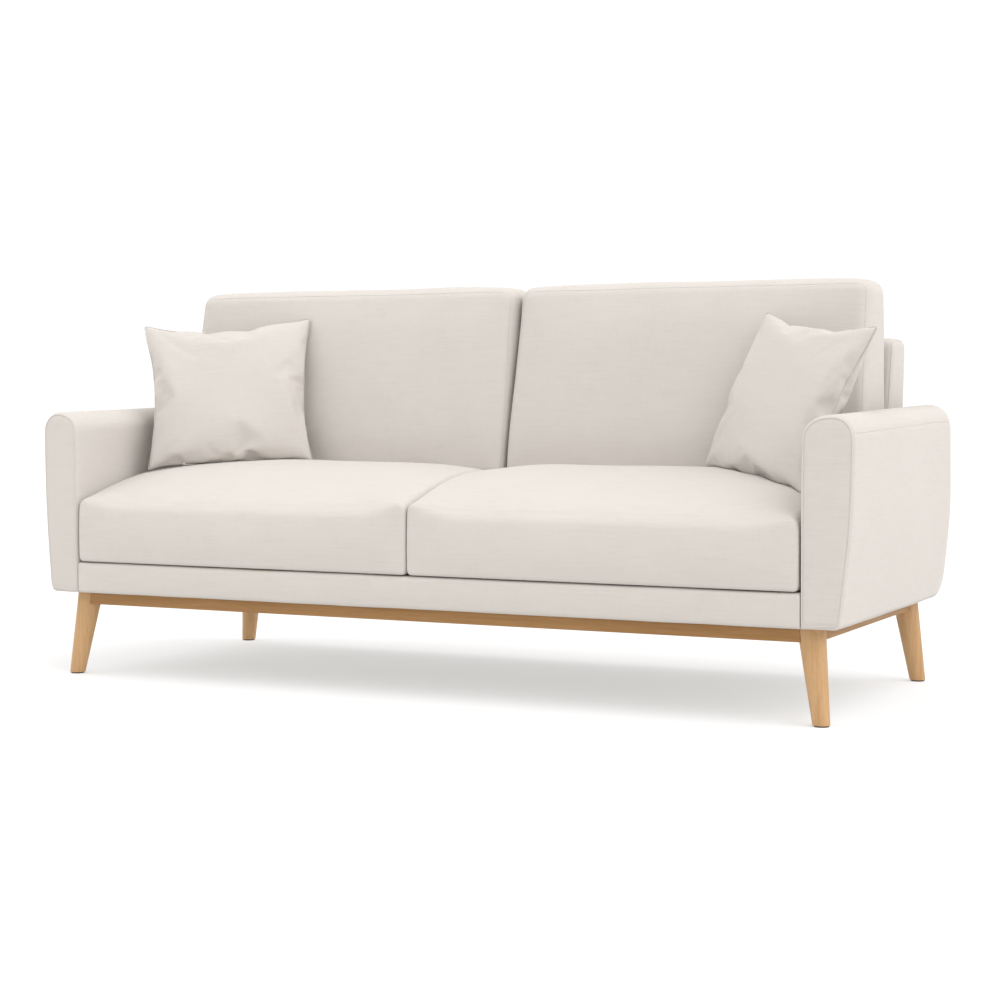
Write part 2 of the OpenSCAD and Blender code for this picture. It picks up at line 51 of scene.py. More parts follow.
# ---- camera, at the photograph's viewing angle ------------------------------
CAM_AT = (2.072, -4.182, 0.635)
CAM_YAW, CAM_PITCH = math.radians(26.12), math.radians(2.845)
CAM_LENS = 74.11
cam_data = bpy.data.cameras.new("camera")
cam_data.sensor_width = 36.0
cam_data.lens = CAM_LENS
cam_data.clip_start, cam_data.clip_end = 0.05, 200.0
camera = bpy.data.objects.new("camera", cam_data)
camera.location = CAM_AT
camera.rotation_euler = (math.pi / 2 - CAM_PITCH, 0.0, CAM_YAW)
scene.collection.objects.link(camera)
scene.camera = camera


# ---- material building ------------------------------------------------------
class Tree:
    """A node material with a Principled shader, and short ways to add nodes to it."""

    def __init__(self, name):
        self.material = bpy.data.materials.new(name)
        self.material.use_nodes = True
        self.tree = self.material.node_tree
        self.tree.nodes.clear()
        out = self.add("ShaderNodeOutputMaterial")
        self.shader = self.add("ShaderNodeBsdfPrincipled")
        self.link(self.shader.outputs[0], out.inputs[0])

    def add(self, kind, **settings):
        made = self.tree.nodes.new(kind)
        for key, value in settings.items():
            setattr(made, key, value)
        return made

    def link(self, a, b):
        self.tree.links.new(a, b)

    def put(self, value, socket):
        """Links a socket, or sets a plain value."""
        if isinstance(value, bpy.types.NodeSocket):
            self.link(value, socket)
        else:
            socket.default_value = value

    def math(self, operation, a, b=0.0, clamp=False):
        made = self.add("ShaderNodeMath", operation=operation, use_clamp=clamp)
        self.put(a, made.inputs[0])
        self.put(b, made.inputs[1])
        return made.outputs[0]

    def scaled(self, vector, factors):
        made = self.add("ShaderNodeVectorMath", operation="MULTIPLY")
        self.put(vector, made.inputs[0])
        made.inputs[1].default_value = factors
        return made.outputs[0]

    def noise(self, vector, scale=1.0, detail=2.0, roughness=0.5, distortion=0.0):
        made = self.add("ShaderNodeTexNoise")
        self.put(vector, made.inputs["Vector"])
        for key, value in (("Scale", scale), ("Detail", detail),
                           ("Roughness", roughness), ("Distortion", distortion)):
            made.inputs[key].default_value = value
        return made.outputs["Fac"]

    def blend(self, factor, a, b, mode="MIX"):
        made = self.add("ShaderNodeMix", data_type="RGBA", blend_type=mode)
        self.put(factor, made.inputs["Factor"])
        self.put(a, made.inputs[6])
        self.put(b, made.inputs[7])
        return made.outputs[2]

    def span(self, value, low, high, to_low=0.0, to_high=1.0):
        made = self.add("ShaderNodeMapRange")
        self.put(value, made.inputs[0])
        for i, x in enumerate((low, high, to_low, to_high)):
            made.inputs[i + 1].default_value = x
        return made.outputs[0]

    def ramp(self, value, stops):
        made = self.add("ShaderNodeValToRGB")
        self.put(value, made.inputs[0])
        elements = made.color_ramp.elements
        while len(elements) < len(stops):
            elements.new(0.5)
        for element, (at, colour) in zip(elements, stops):
            element.position, element.color = at, colour
        return made.outputs[0]

    def bump(self, height, distance, strength=1.0):
        made = self.add("ShaderNodeBump")
        made.inputs["Strength"].default_value = strength
        made.inputs["Distance"].default_value = distance
        self.link(height, made.inputs["Height"])
        self.link(made.outputs[0], self.shader.inputs["Normal"])

    def place(self):
        return self.add("ShaderNodeTexCoord").outputs["Object"]

    def set(self, **values):
        for key, value in values.items():
            self.put(value, self.shader.inputs[key.replace("_", " ")])


def shade(colour, factor):
    return tuple(c * factor for c in colour[:3]) + (1.0,)


def linen(name, colour, thread=0.0011, slub=1.0, dark=0.88):
    """A plain-woven, slightly slubby cloth. Its threads follow the piece's own weave map, in metres."""
    t = Tree(name)
    cloth = t.add("ShaderNodeUVMap", uv_map="weave").outputs[0]
    wander = t.noise(cloth, 70.0, 2.0)
    split = t.add("ShaderNodeSeparateXYZ")
    t.link(cloth, split.inputs[0])
    shift = t.math("MULTIPLY", t.math("SUBTRACT", wander, 0.5), 0.0016)
    wave = [t.math("SINE", t.math("MULTIPLY", t.math("ADD", axis, shift), math.pi / thread))
            for axis in split.outputs[:2]]
    over = t.math("ADD", t.math("MULTIPLY", t.math("MULTIPLY", wave[0], wave[1]), 3.0), 0.5, True)
    ridge = [t.math("ABSOLUTE", w) for w in wave]
    lifted = t.math("MULTIPLY", t.math("SUBTRACT", ridge[0], ridge[1]), over)
    weave = t.math("ADD", ridge[1], lifted)
    warp = t.noise(t.scaled(cloth, (620.0, 26.0, 1.0)), 1.0, 2.0, 0.6)
    weft = t.noise(t.scaled(cloth, (22.0, 560.0, 1.0)), 1.0, 2.0, 0.6)
    slubs = t.math("ADD", t.math("MULTIPLY", warp, 0.5), t.math("MULTIPLY", weft, 0.5))
    streaks = t.noise(t.scaled(cloth, (11.0, 170.0, 1.0)), 1.0, 3.0, 0.6)
    mottle = t.noise(t.place(), 5.0, 4.0, 0.55)
    patch = t.noise(t.place(), 38.0, 3.0, 0.6)
    tone = t.math("ADD", t.span(slubs, 0.3, 0.7, 0.0, 0.50 * slub),
                  t.span(mottle, 0.3, 0.7, 0.0, 0.18))
    tone = t.math("ADD", tone, t.span(streaks, 0.3, 0.7, -0.10 * slub, 0.24 * slub))
    tone = t.math("ADD", tone, t.span(patch, 0.3, 0.7, 0.0, 0.13))
    # The weave's height also lightens the thread tops and darkens the gaps between them: painted shade in
    # the weave.
    tone = t.math("ADD", tone, t.span(weave, 0.0, 1.0, 0.0, 0.22), True)
    warm = (colour[0] * dark * 1.008, colour[1] * dark, colour[2] * dark * 0.988, 1.0)
    t.set(Base_Color=t.ramp(tone, ((0.0, warm), (0.55, shade(colour, 0.985)),
                                   (1.0, shade(colour, 1.03)))),
          Roughness=t.span(slubs, 0.3, 0.7, 0.86, 0.97),
          Sheen_Weight=0.12, Sheen_Roughness=0.55, Specular_IOR_Level=0.22)
    t.bump(t.math("ADD", weave, t.math("MULTIPLY", slubs, 1.6)), thread * 0.34, 0.55)
    return t.material


def wood(name, light, dark, along, gloss=0.5, fine=1.0):
    """Straight-grained timber, whose grain runs along one axis."""
    t = Tree(name)
    across = [1.0, 1.0, 1.0]
    across[along] = 0.045
    at = t.place()
    sway = t.noise(t.scaled(at, tuple(9.0 * a for a in across)), 1.0, 3.0, 0.55)
    bands = t.noise(t.scaled(at, tuple(95.0 * fine * a for a in across)), 1.0, 5.0, 0.62, 0.35)
    fibre = t.noise(t.scaled(at, tuple(620.0 * a for a in across)), 1.0, 3.0, 0.7)
    pore_scale = tuple(30.0 if i == along else 1500.0 for i in range(3))
    pores = t.span(t.noise(t.scaled(at, pore_scale), 1.0, 1.0), 0.56, 0.70)
    tone = t.math("ADD", t.math("MULTIPLY", bands, 0.62), t.math("MULTIPLY", sway, 0.38))
    tone = t.math("ADD", tone, t.math("MULTIPLY", t.math("SUBTRACT", fibre, 0.5), 0.16))
    colour = t.ramp(t.span(tone, 0.36, 0.66), ((0.0, light), (0.5, tuple(
        (a + b) / 2 for a, b in zip(light, dark))), (1.0, dark)))
    colour = t.blend(t.math("MULTIPLY", pores, 0.28), colour, shade(dark, 0.6))
    t.set(Base_Color=colour, Roughness=t.span(fibre, 0.3, 0.7, gloss - 0.06, gloss + 0.1),
          Coat_Weight=0.06, Coat_Roughness=0.35, Specular_IOR_Level=0.28)
    t.bump(t.math("SUBTRACT", fibre, t.math("MULTIPLY", pores, 0.8)), 0.00018, 0.5)
    return t.material


def metal(name, colour, rough):
    """Brushed or cast metal with fine marks and worn patches."""
    t = Tree(name)
    at = t.place()
    marks = t.noise(t.scaled(at, (900.0, 900.0, 160.0)), 1.0, 3.0, 0.6)
    worn = t.noise(at, 90.0, 4.0, 0.6)
    t.set(Base_Color=t.ramp(worn, ((0.3, shade(colour, 0.82)), (0.7, shade(colour, 1.06)))),
          Metallic=1.0, Roughness=t.span(marks, 0.3, 0.7, rough - 0.08, rough + 0.1))
    t.bump(marks, 0.00006, 0.5)
    return t.material


def grainy(name, colour, scale, rough, depth, contrast=0.12, stretch=(1.0, 1.0, 1.0)):
    """Foam, felt, plastic or pressed fibre: a speckled colour with bumps of one size."""
    t = Tree(name)
    at = t.scaled(t.place(), stretch)
    cells = t.noise(at, scale, 4.0, 0.65)
    broad = t.noise(at, scale * 0.06, 2.0)
    tone = t.math("ADD", t.math("MULTIPLY", cells, 0.7), t.math("MULTIPLY", broad, 0.3))
    t.set(Base_Color=t.ramp(t.span(tone, 0.32, 0.68), ((0.0, shade(colour, 1.0 - contrast)),
                                                      (1.0, shade(colour, 1.0 + contrast / 3)))),
          Roughness=t.span(cells, 0.3, 0.7, rough - 0.08, rough + 0.06), Specular_IOR_Level=0.3)
    t.bump(cells, depth, 0.6)
    return t.material


LINEN = (0.558, 0.520, 0.482, 1.0)
OAK_LIGHT, OAK_DARK = (0.500, 0.314, 0.162, 1.0), (0.390, 0.222, 0.094, 1.0)
PINE_LIGHT, PINE_DARK = (0.62, 0.45, 0.26, 1.0), (0.45, 0.29, 0.14, 1.0)
MATS = {
    "linen_body": linen("linen body", LINEN),
    "linen_seat": linen("linen seat", LINEN),
    "linen_back": linen("linen back", LINEN),
    "linen_pillow": linen("linen pillow", shade(LINEN, 0.98), 0.0010),
    "seam_thread": linen("seam thread", shade(LINEN, 0.90), 0.0007, 0.6),
    "deck_linen": linen("deck linen", shade(LINEN, 0.90), 0.0014, 0.8),
    "underlining": linen("underlining", (0.60, 0.57, 0.52, 1.0), 0.0018, 0.5, 0.85),
    "zip_tape": linen("zip tape", (0.70, 0.67, 0.62, 1.0), 0.0006, 0.5),
    # The aprons' oak is painted darker than the legs' oak along z: painted shade for the shadow under the
    # seat, though it is the same wood.
    "oak_x_painted_shade": wood("oak along x in painted shade", (0.385, 0.212, 0.080, 1.0), (0.294, 0.147, 0.046, 1.0), 0),
    "oak_y_painted_shade": wood("oak along y in painted shade", (0.405, 0.226, 0.088, 1.0), (0.310, 0.156, 0.051, 1.0), 1),
    "oak_z": wood("oak along z", shade(OAK_LIGHT, 1.06), shade(OAK_DARK, 1.06), 2),
    **{f"pine_{name}": wood(f"frame wood along {name}", PINE_LIGHT, PINE_DARK, axis, 0.7)
       for axis, name in enumerate("xyz")},
    "steel": metal("zinc-plated steel", (0.56, 0.56, 0.55, 1.0), 0.36),
    "zip_metal": metal("zip metal", (0.60, 0.58, 0.54, 1.0), 0.30),
    # The aprons take the darker oak, whose colour is painted shade.
    "glide": grainy("glide plastic", (0.060, 0.045, 0.035, 1.0), 900.0, 0.55, 0.0002),
    "felt": grainy("felt", (0.52, 0.50, 0.46, 1.0), 700.0, 0.95, 0.0006, 0.2),
    "webbing": grainy("webbing", (0.36, 0.29, 0.17, 1.0), 500.0, 0.9, 0.0006, 0.25, (0.15, 1, 1)),
    "foam": grainy("foam", (0.78, 0.72, 0.50, 1.0), 900.0, 0.9, 0.0005),
}


# ---- mesh building ----------------------------------------------------------
def ease(x, low, high):
    """0 below low, 1 above high, and smooth between."""
    t = np.clip((x - low) / (high - low), 0.0, 1.0)
    return t * t * (3 - 2 * t)


def rounded(r, *walls):
    """Distance outside walls that meet with a rounding of radius r."""
    inside = np.maximum.reduce(walls)
    out = np.sqrt(sum(np.maximum(w + r, 0.0) ** 2 for w in walls))
    return np.where(out > 0, out - r, inside)


def merged(*walls):
    """Distance outside the form that these pairs of wall distance and rounding radius bound."""
    grips = [np.maximum(d / r + 1, 0.0) for d, r in walls]
    size = np.sqrt(sum(g ** 2 for g in grips))
    slope = np.sqrt(sum((g / r) ** 2 for g, (d, r) in zip(grips, walls)))
    return np.where(size > 1e-6, (size - 1) * size / np.maximum(slope, 1e-9), -0.1)


def lattice(cells, bunch):
    """The surface grid of a box: unit points, quads, each quad's panel, and the points' ids by place."""
    ticks = []
    for n in cells:
        u = np.linspace(-1.0, 1.0, n + 1)
        ticks.append((1 - bunch) * u + bunch * np.sin(u * math.pi / 2))
    ids, points, quads, panels = {}, [], [], []

    def corner(key):
        if key not in ids:
            ids[key] = len(points)
            points.append([ticks[a][key[a]] for a in range(3)])
        return ids[key]

    for axis in range(3):
        a, b = (axis + 1) % 3, (axis + 2) % 3
        for side in (0, 1):
            for p in range(cells[a]):
                for q in range(cells[b]):
                    loop = []
                    for i, j in ((p, q), (p + 1, q), (p + 1, q + 1), (p, q + 1)):
                        key = [0, 0, 0]
                        key[axis], key[a], key[b] = cells[axis] * side, i, j
                        loop.append(corner(tuple(key)))
                    quads.append(loop if side else loop[::-1])
                    panels.append(2 * axis + side)
    return np.array(points), quads, panels, ids


def panel_rim(cells, ids, axis, side):
    """The ids round one panel's rim, in order."""
    a, b = (axis + 1) % 3, (axis + 2) % 3
    na, nb = cells[a], cells[b]
    walk = ([(i, 0) for i in range(na)] + [(na, j) for j in range(nb)]
            + [(i, nb) for i in range(na, 0, -1)] + [(0, j) for j in range(nb, 0, -1)])
    made = []
    for i, j in walk:
        key = [0, 0, 0]
        key[axis], key[a], key[b] = cells[axis] * side, i, j
        made.append(ids[tuple(key)])
    return made


def make_object(name, points, faces, uvs):
    """A mesh object in the shared frame, with its weave map. uvs holds one pair for each face corner."""
    mesh = bpy.data.meshes.new(name)
    mesh.from_pydata([tuple(p) for p in points], [], faces)
    layer = mesh.uv_layers.new(name="weave")
    layer.data.foreach_set("uv", np.asarray(uvs, np.float32).ravel())
    mesh.polygons.foreach_set("use_smooth", [True] * len(mesh.polygons))
    mesh.update()
    obj = bpy.data.objects.new(name, mesh)
    scene.collection.objects.link(obj)
    return obj


def outward(obj):
    """Turns the faces of closed shapes to face out."""
    mesh = bmesh.new()
    mesh.from_mesh(obj.data)
    bmesh.ops.recalc_face_normals(mesh, faces=mesh.faces)
    mesh.to_mesh(obj.data)
    mesh.free()


def coords(obj):
    co = np.empty(len(obj.data.vertices) * 3)
    obj.data.vertices.foreach_get("co", co)
    return co.reshape(-1, 3)


def set_coords(obj, points):
    obj.data.vertices.foreach_set("co", np.asarray(points, float).ravel())
    obj.data.update()


def box_uvs(points, faces, panels):
    """Each panel's weave map is the piece's own two coordinates on that panel, in metres."""
    pairs = {0: (1, 2), 1: (0, 2), 2: (0, 1)}
    return [(points[v][pairs[p // 2][0]], points[v][pairs[p // 2][1]])
            for face, p in zip(faces, panels) for v in face]


def soft_form(low, high, cells, walls, bunch=0.5, cage=None):
    """Points, quads, panels and ids of a box grid drawn onto the surface that the walls bound.
    Each point moves away from the box's middle plane or line, which lies straight behind it.
    walls(x, y, z) gives pairs of distance outside a wall and the radius it is rounded with.
    cage(x, y, z) bends the box first, so that its edges lie near the form's own edges."""
    low, high = np.array(low, float), np.array(high, float)
    unit, quads, panels, ids = lattice(cells, bunch)
    box = (low + high) / 2 + unit * (high - low) / 2
    deep = (high - low).min() / 2
    core = np.clip(box, low + deep, high - deep)
    if cage:
        box = np.stack(cage(*box.T), axis=1)
        core = np.stack(cage(*core.T), axis=1)
    ray = box - core
    near, far = np.full(len(unit), 0.15), np.full(len(unit), 1.5)
    for _ in range(30):
        mid = (near + far) / 2
        p = core + ray * mid[:, None]
        out = sum(np.maximum(d / r + 1, 0.0) ** 2 for d, r in walls(p[:, 0], p[:, 1], p[:, 2]))
        far = np.where(out > 1, mid, far)
        near = np.where(out > 1, near, mid)
    return core + ray * near[:, None], quads, panels, ids


def soft_object(name, *form):
    """A soft form as an object, with its points and their ids by place."""
    points, quads, panels, ids = soft_form(*form)
    return make_object(name, points, quads, box_uvs(points, quads, panels)), points, ids


def lumps(points, seed, size, height):
    """Slow, smooth unevenness over a surface, one number a point."""
    offset = Vector((seed * 3.7, seed * 1.3, seed * 2.1))
    return np.array([noise.noise(Vector(p) * (1.0 / size) + offset) for p in points]) * height


def made_lumpy(obj, points, *unevenness):
    set_coords(obj, points + normals_of(obj) * lumps(points, *unevenness)[:, None])


def normals_of(obj):
    out = np.empty(len(obj.data.vertices) * 3)
    obj.data.vertices.foreach_get("normal", out)
    return out.reshape(-1, 3)


def gripped(hold, cells, ids, rims, grip):
    """Gives the points round some panels' rims at least this much hold."""
    for axis, side in rims:
        rim = panel_rim(cells, ids, axis, side)
        hold[rim] = np.maximum(hold[rim], grip)


def spread(obj, field, times):
    """Averages a value on each point with its neighbours' values."""
    edges = np.empty(len(obj.data.edges) * 2, dtype=int)
    obj.data.edges.foreach_get("vertices", edges)
    a, b = edges.reshape(-1, 2).T
    n = len(field)
    count = np.bincount(a, minlength=n) + np.bincount(b, minlength=n)
    for _ in range(times):
        field = np.stack([f * 0.5 + 0.5 * (np.bincount(a, f[b], n) + np.bincount(b, f[a], n)) / count
                          for f in field.T], axis=1)
    return field


def puff(obj, hold, pressure, frames, cap, stiff=12.0, bend=0.6, calm=0.0):
    """Inflates a cover with cloth simulation. hold is each point's grip on its place, from 0 to 1,
    and calm is the share of the movement that is spread smoothly over the cover."""
    rest = coords(obj)
    group = obj.vertex_groups.new(name="hold")
    for level in np.unique(np.round(hold, 2)):
        if level > 0:
            picked = np.nonzero(np.round(hold, 2) == level)[0]
            group.add([int(i) for i in picked], float(level), "REPLACE")
    cloth = obj.modifiers.new("Cloth", "CLOTH")
    s = cloth.settings
    s.quality = 5
    s.mass = 0.3
    s.tension_stiffness = s.compression_stiffness = stiff
    s.shear_stiffness = stiff * 0.5
    s.bending_stiffness = bend
    s.air_damping = 2.0
    s.use_pressure = True
    s.uniform_pressure_force = pressure
    s.effector_weights.gravity = 0.0
    s.vertex_group_mass = "hold"
    s.pin_stiffness = 1.0
    cloth.collision_settings.use_collision = False
    cloth.collision_settings.use_self_collision = False
    cloth.point_cache.frame_start, cloth.point_cache.frame_end = 1, frames
    for f in range(1, frames + 1):
        scene.frame_set(f)
    found = obj.evaluated_get(bpy.context.evaluated_depsgraph_get())
    moved = np.empty(len(rest) * 3)
    found.data.vertices.foreach_get("co", moved)
    moved = moved.reshape(-1, 3)
    obj.modifiers.remove(cloth)
    obj.vertex_groups.clear()
    scene.frame_set(1)
    step = moved - rest
    far = np.linalg.norm(step, axis=1, keepdims=True)
    step *= np.minimum(1.0, cap / np.maximum(far, 1e-9))
    if calm:
        step = step * (1 - calm) + spread(obj, step, 60) * calm
    set_coords(obj, rest + step)
    return far.max()


def subdivided(obj, levels=1):
    """Applies one smoothing subdivision to the mesh."""
    mod = obj.modifiers.new("Subdivision", "SUBSURF")
    mod.levels = mod.render_levels = levels
    mod.boundary_smooth = "PRESERVE_CORNERS"
    found = obj.evaluated_get(bpy.context.evaluated_depsgraph_get())
    mesh = bpy.data.meshes.new_from_object(found)
    old = obj.data
    obj.modifiers.clear()
    obj.data = mesh
    bpy.data.meshes.remove(old)
    mesh.name = obj.name
    mesh.polygons.foreach_set("use_smooth", [True] * len(mesh.polygons))


def tree_of(obj):
    return BVHTree.FromPolygons([v.co for v in obj.data.vertices],
                                [tuple(p.vertices) for p in obj.data.polygons])


def resampled(path, step, closed):
    """Points at even steps along a path."""
    path = np.array(path, float)
    if closed:
        path = np.vstack([path, path[:1]])
    run = np.concatenate([[0], np.cumsum(np.linalg.norm(np.diff(path, axis=0), axis=1))])
    count = max(int(round(run[-1] / step)), 3)
    at = np.linspace(0, run[-1], count + 1)
    made = np.stack([np.interp(at, run, path[:, i]) for i in range(3)], axis=1)
    return made[:-1] if closed else made


def smoothed(path, closed, times=3):
    for _ in range(times):
        if closed:
            path = (np.roll(path, 1, 0) + 2 * path + np.roll(path, -1, 0)) / 4
        else:
            path[1:-1] = (path[:-2] + 2 * path[1:-1] + path[2:]) / 4
    return path


def laid(tree, path, step=0.006, closed=False, smooth=3):
    """A path laid on a surface: its points and the surface's normals there."""
    path = smoothed(resampled(path, step, closed), closed, smooth)
    points, normals = [], []
    for p in path:
        at, normal, _, _ = tree.find_nearest(Vector(p))
        points.append(at)
        normals.append(normal)
    return np.array(points), smoothed(np.array(normals), closed, 4), closed


def seams(name, runs, wide, high, material, body, slot, sides=8, lift=0.0):
    """Thin raised seams or welts: each run is points, surface normals and whether it closes."""
    points, faces, uvs = [], [], []
    for path, normals, closed in runs:
        normals = normals / np.maximum(np.linalg.norm(normals, axis=1, keepdims=True), 1e-9)
        if closed:
            along = np.roll(path, -1, 0) - np.roll(path, 1, 0)
        else:
            along = np.gradient(path, axis=0)
        along /= np.maximum(np.linalg.norm(along, axis=1, keepdims=True), 1e-9)
        side = np.cross(along, normals)
        side /= np.maximum(np.linalg.norm(side, axis=1, keepdims=True), 1e-9)
        start, count = len(points), len(path)
        for i in range(count):
            for k in range(sides):
                a = 2 * math.pi * k / sides
                points.append(path[i] + side[i] * math.cos(a) * wide
                              + normals[i] * (math.sin(a) * high + lift))
        for i in range(count if closed else count - 1):
            ring, following = start + i * sides, start + (i + 1) % count * sides
            for k in range(sides):
                n = (k + 1) % sides
                faces.append((ring + k, following + k, following + n, ring + n))
                uvs += [(u * 0.006, v * wide * 0.7) for u, v in
                        ((i, k), (i + 1, k), (i + 1, k + 1), (i, k + 1))]
        if not closed:
            faces.append(tuple(start + k for k in range(sides)))
            faces.append(tuple(start + (count - 1) * sides + k for k in range(sides))[::-1])
            uvs += [(0.0, 0.0)] * (2 * sides)
    return finish_piece(make_object(name, points, faces, uvs), material, body, slot)


def finish_piece(obj, material, body, slot, stands_for=(), fill=None):
    obj.data.materials.clear()
    obj.data.materials.append(material)
    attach(obj, body)
    if stands_for:
        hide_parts(*stands_for)
    return obj


def dented(obj, paths, depth, reach):
    """Pulls a surface in along sewn lines."""
    co = coords(obj)
    normal = normals_of(obj)
    line = np.vstack(paths)
    near = np.full(len(co), 1e9)
    for block in range(0, len(co), 4000):
        part = co[block:block + 4000]
        best = np.full(len(part), 1e9)
        for start in range(0, len(line), 400):
            gap = np.linalg.norm(part[:, None, :] - line[None, start:start + 400, :], axis=2)
            best = np.minimum(best, gap.min(1))
        near[block:block + 4000] = best
    set_coords(obj, co - normal * (depth * np.exp(-(near / reach) ** 2))[:, None])


BODY_LINEN = (MATS["linen_body"], "sofa_frame", "linen_body")

# ---- arms --------------------------------------------------------------------
seat_half = (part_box("arm_cover_right")[0]).x
arm_low, arm_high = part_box("arm_cover_right")
FRONT, REAR = arm_low.y, arm_high.y
SHELL = arm_low.z
ARM_TOP_FRONT = 0.602
SHOULDER_Z = arm_high.z - 0.062


HEEL_LEAN = 0.010
# How much wider each arm is in front than in CAD, and behind
ARM_EXTRA = {-1: (0.002, 0.004), 1: (0.013, 0.008)}
ARM_INNER_R, ARM_OUTER_R, ARM_TOP_R = 0.055, 0.042, 0.044


def arm_top(y):
    return ARM_TOP_FRONT + (arm_high.z - ARM_TOP_FRONT) * (y - FRONT) / (REAR - FRONT)


def arm_profile(y, z):
    """Distance outside an arm's side outline: sloping top, leaning rear, rounded heel and shoulder."""
    rear = y - REAR - (z - SHOULDER_Z) * HEEL_LEAN
    return rounded(0.060, z - arm_top(y), rear, SHELL - z)


def arm_outer(z, side, y=FRONT):
    """An arm's outer wall, as if on the right, which tapers in towards the foot."""
    extra = ARM_EXTRA[side][0] + (ARM_EXTRA[side][1] - ARM_EXTRA[side][0]) * ease(y, FRONT, REAR)
    taper = np.sin(np.clip((z - 0.206) / 0.366, 0, 1) * math.pi / 2)
    return arm_high.x - 0.015 + extra * ease(z, 0.10, 0.42) + 0.015 * taper


def arm_walls(side):
    def walls(x, y, z):
        x = x * side
        belly = np.sin(math.pi * np.clip((z - SHELL) / 0.41, 0, 1))
        outer = x - arm_outer(z, side, y) - 0.0020 * (1 - (y / 0.402) ** 2) * belly
        inner = seat_half + 0.0003 - x
        high = ease(z, 0.36, 0.55)
        body = merged((outer, 0.015 + (ARM_OUTER_R - 0.015) * high),
                      (inner, 0.0025 + (ARM_INNER_R - 0.0025) * ease(z, 0.26, 0.55)),
                      (arm_profile(y, z), 0.014 + (ARM_TOP_R - 0.014) * high))
        front = FRONT + 0.0035 - y - 0.0035 * belly * (1 - ((x - 0.903) / 0.047) ** 2).clip(0, 1)
        edge = 0.0030 + 0.0060 * np.maximum(ease(x, 0.870, 0.900), ease(z, 0.52, 0.58))
        return (body, edge), (front, edge)
    return walls


def arm_cage(side):
    """Bends the box so that its edges follow the arm's taper, slope and rear."""
    def cage(x, y, z):
        share = (x * side - seat_half) / (arm_high.x - seat_half)
        x = side * (seat_half + share * (arm_outer(z, side, y) - seat_half))
        rear = REAR - np.maximum(SHOULDER_Z - z, 0) * HEEL_LEAN
        y = FRONT + (y - FRONT) * (rear - FRONT) / (REAR - FRONT)
        return x, y, SHELL + (z - SHELL) * (arm_top(y) - SHELL) / (arm_high.z - SHELL)
    return cage


def front_seam(side, inset):
    """The outline of an arm's front panel, inset from the arm's outline, in X and Z."""
    made = [(seat_half + inset, z) for z in np.linspace(SHELL + inset, 0.545, 30)]
    for x0, r, turns in ((seat_half + ARM_INNER_R, ARM_INNER_R, np.linspace(180, 90, 16)),
                         (arm_high.x + ARM_EXTRA[side][0] - ARM_OUTER_R, ARM_OUTER_R,
                          np.linspace(90, 0, 16))):
        for a in np.radians(turns):
            made.append((x0 + (r - inset) * math.cos(a),
                         ARM_TOP_FRONT - ARM_TOP_R + (ARM_TOP_R - inset) * math.sin(a)))
    made += [(float(arm_outer(z, side)) - inset, z)
             for z in np.linspace(0.54, SHELL + inset + 0.006, 30)]
    return [(side * x, z) for x, z in made]


def side_seam(side):
    """Places outside the arm and the ways in to a seam under its top, back and round the rear corner."""
    pivot = 0.350
    made = [((side * 1.2, y), (-side, 0.0)) for y in np.linspace(FRONT + 0.016, pivot, 60)]
    for a in np.radians(np.linspace(0, 165, 26)[1:]):
        way = (side * math.cos(a), math.sin(a))
        made.append(((side * 0.903 + way[0] * 0.3, pivot + way[1] * 0.3), (-way[0], -way[1])))
    return made


ARM_CELLS = (18, 76, 46)
# How far the front panel's welt lies inside the arm's outline, and the side seam under its top
WELT_INSET, SIDE_SEAM_DROP = 0.0045, 0.034
arms = {}
for side, word in SIDES:
    xs = sorted((side * arm_low.x, side * arm_high.x))
    arm, points, ids = soft_object(f"arm_{word}", (xs[0], FRONT, SHELL), (xs[1], REAR, arm_high.z),
                                   ARM_CELLS, arm_walls(side), 0.6, arm_cage(side))
    made_lumpy(arm, points, 3 + side, 0.22, 0.0014)
    subdivided(arm)
    tree = tree_of(arm)
    welt = [tree.ray_cast(Vector((x, -1, z)), Vector((0, 1, 0)))[0]
            for x, z in front_seam(side, WELT_INSET)]
    under = []
    for (x, y), (dx, dy) in side_seam(side):
        z = arm_top(y) - SIDE_SEAM_DROP - 0.004 * float(ease(y, 0.2, 0.4))
        under.append(tree.ray_cast(Vector((x, y, z)), Vector((dx, dy, 0)))[0])
    welt_run, under_run = laid(tree, welt, 0.006, True), laid(tree, under, 0.006, False)
    dented(arm, [welt_run[0]], 0.0012, 0.006)
    dented(arm, [under_run[0]], 0.0006, 0.006)
    finish_piece(arm, *BODY_LINEN, (f"arm_cover_{word}", f"arm_foam_{word}"), 0.9)
    seams(f"arm_{word}_welt", [welt_run], 0.0019, 0.0016, *BODY_LINEN, lift=-0.0008)
    seams(f"arm_{word}_side_seam", [under_run], 0.0014, 0.0005, *BODY_LINEN, 6, -0.0005)
    arms[word] = arm

# ---- back, its rear panel and the front rail -----------------------------------
back_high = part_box("back_cover")[1]
BACK_X, BACK_TOP, BACK_FOOT = back_high.x, back_high.z, 0.2625
BACK_FRONT, BACK_REAR = 0.193, 0.388
PANEL_X, PANEL_TOP, PANEL_FOOT, PANEL_R = 0.842, 0.742, 0.1903, 0.0045
PANEL_FRONT, PANEL_REAR = 0.335, 0.375


def back_front_y(z):
    return 0.193 + 0.095 * (z - 0.262) / 0.483


def back_rear_y(z):
    return 0.352 + 0.036 * (z - 0.190) / 0.555


def back_walls(x, y, z):
    front = (back_front_y(z) - y) * 0.981
    rear = (y - back_rear_y(z)) * 0.998
    top = z - BACK_TOP - 0.0015 * np.cos(x * 1.8)
    profile = rounded(0.024, front, rear, top)
    return ((np.abs(x) - BACK_X, 0.016), (profile, 0.016), (BACK_FOOT - z, 0.006))


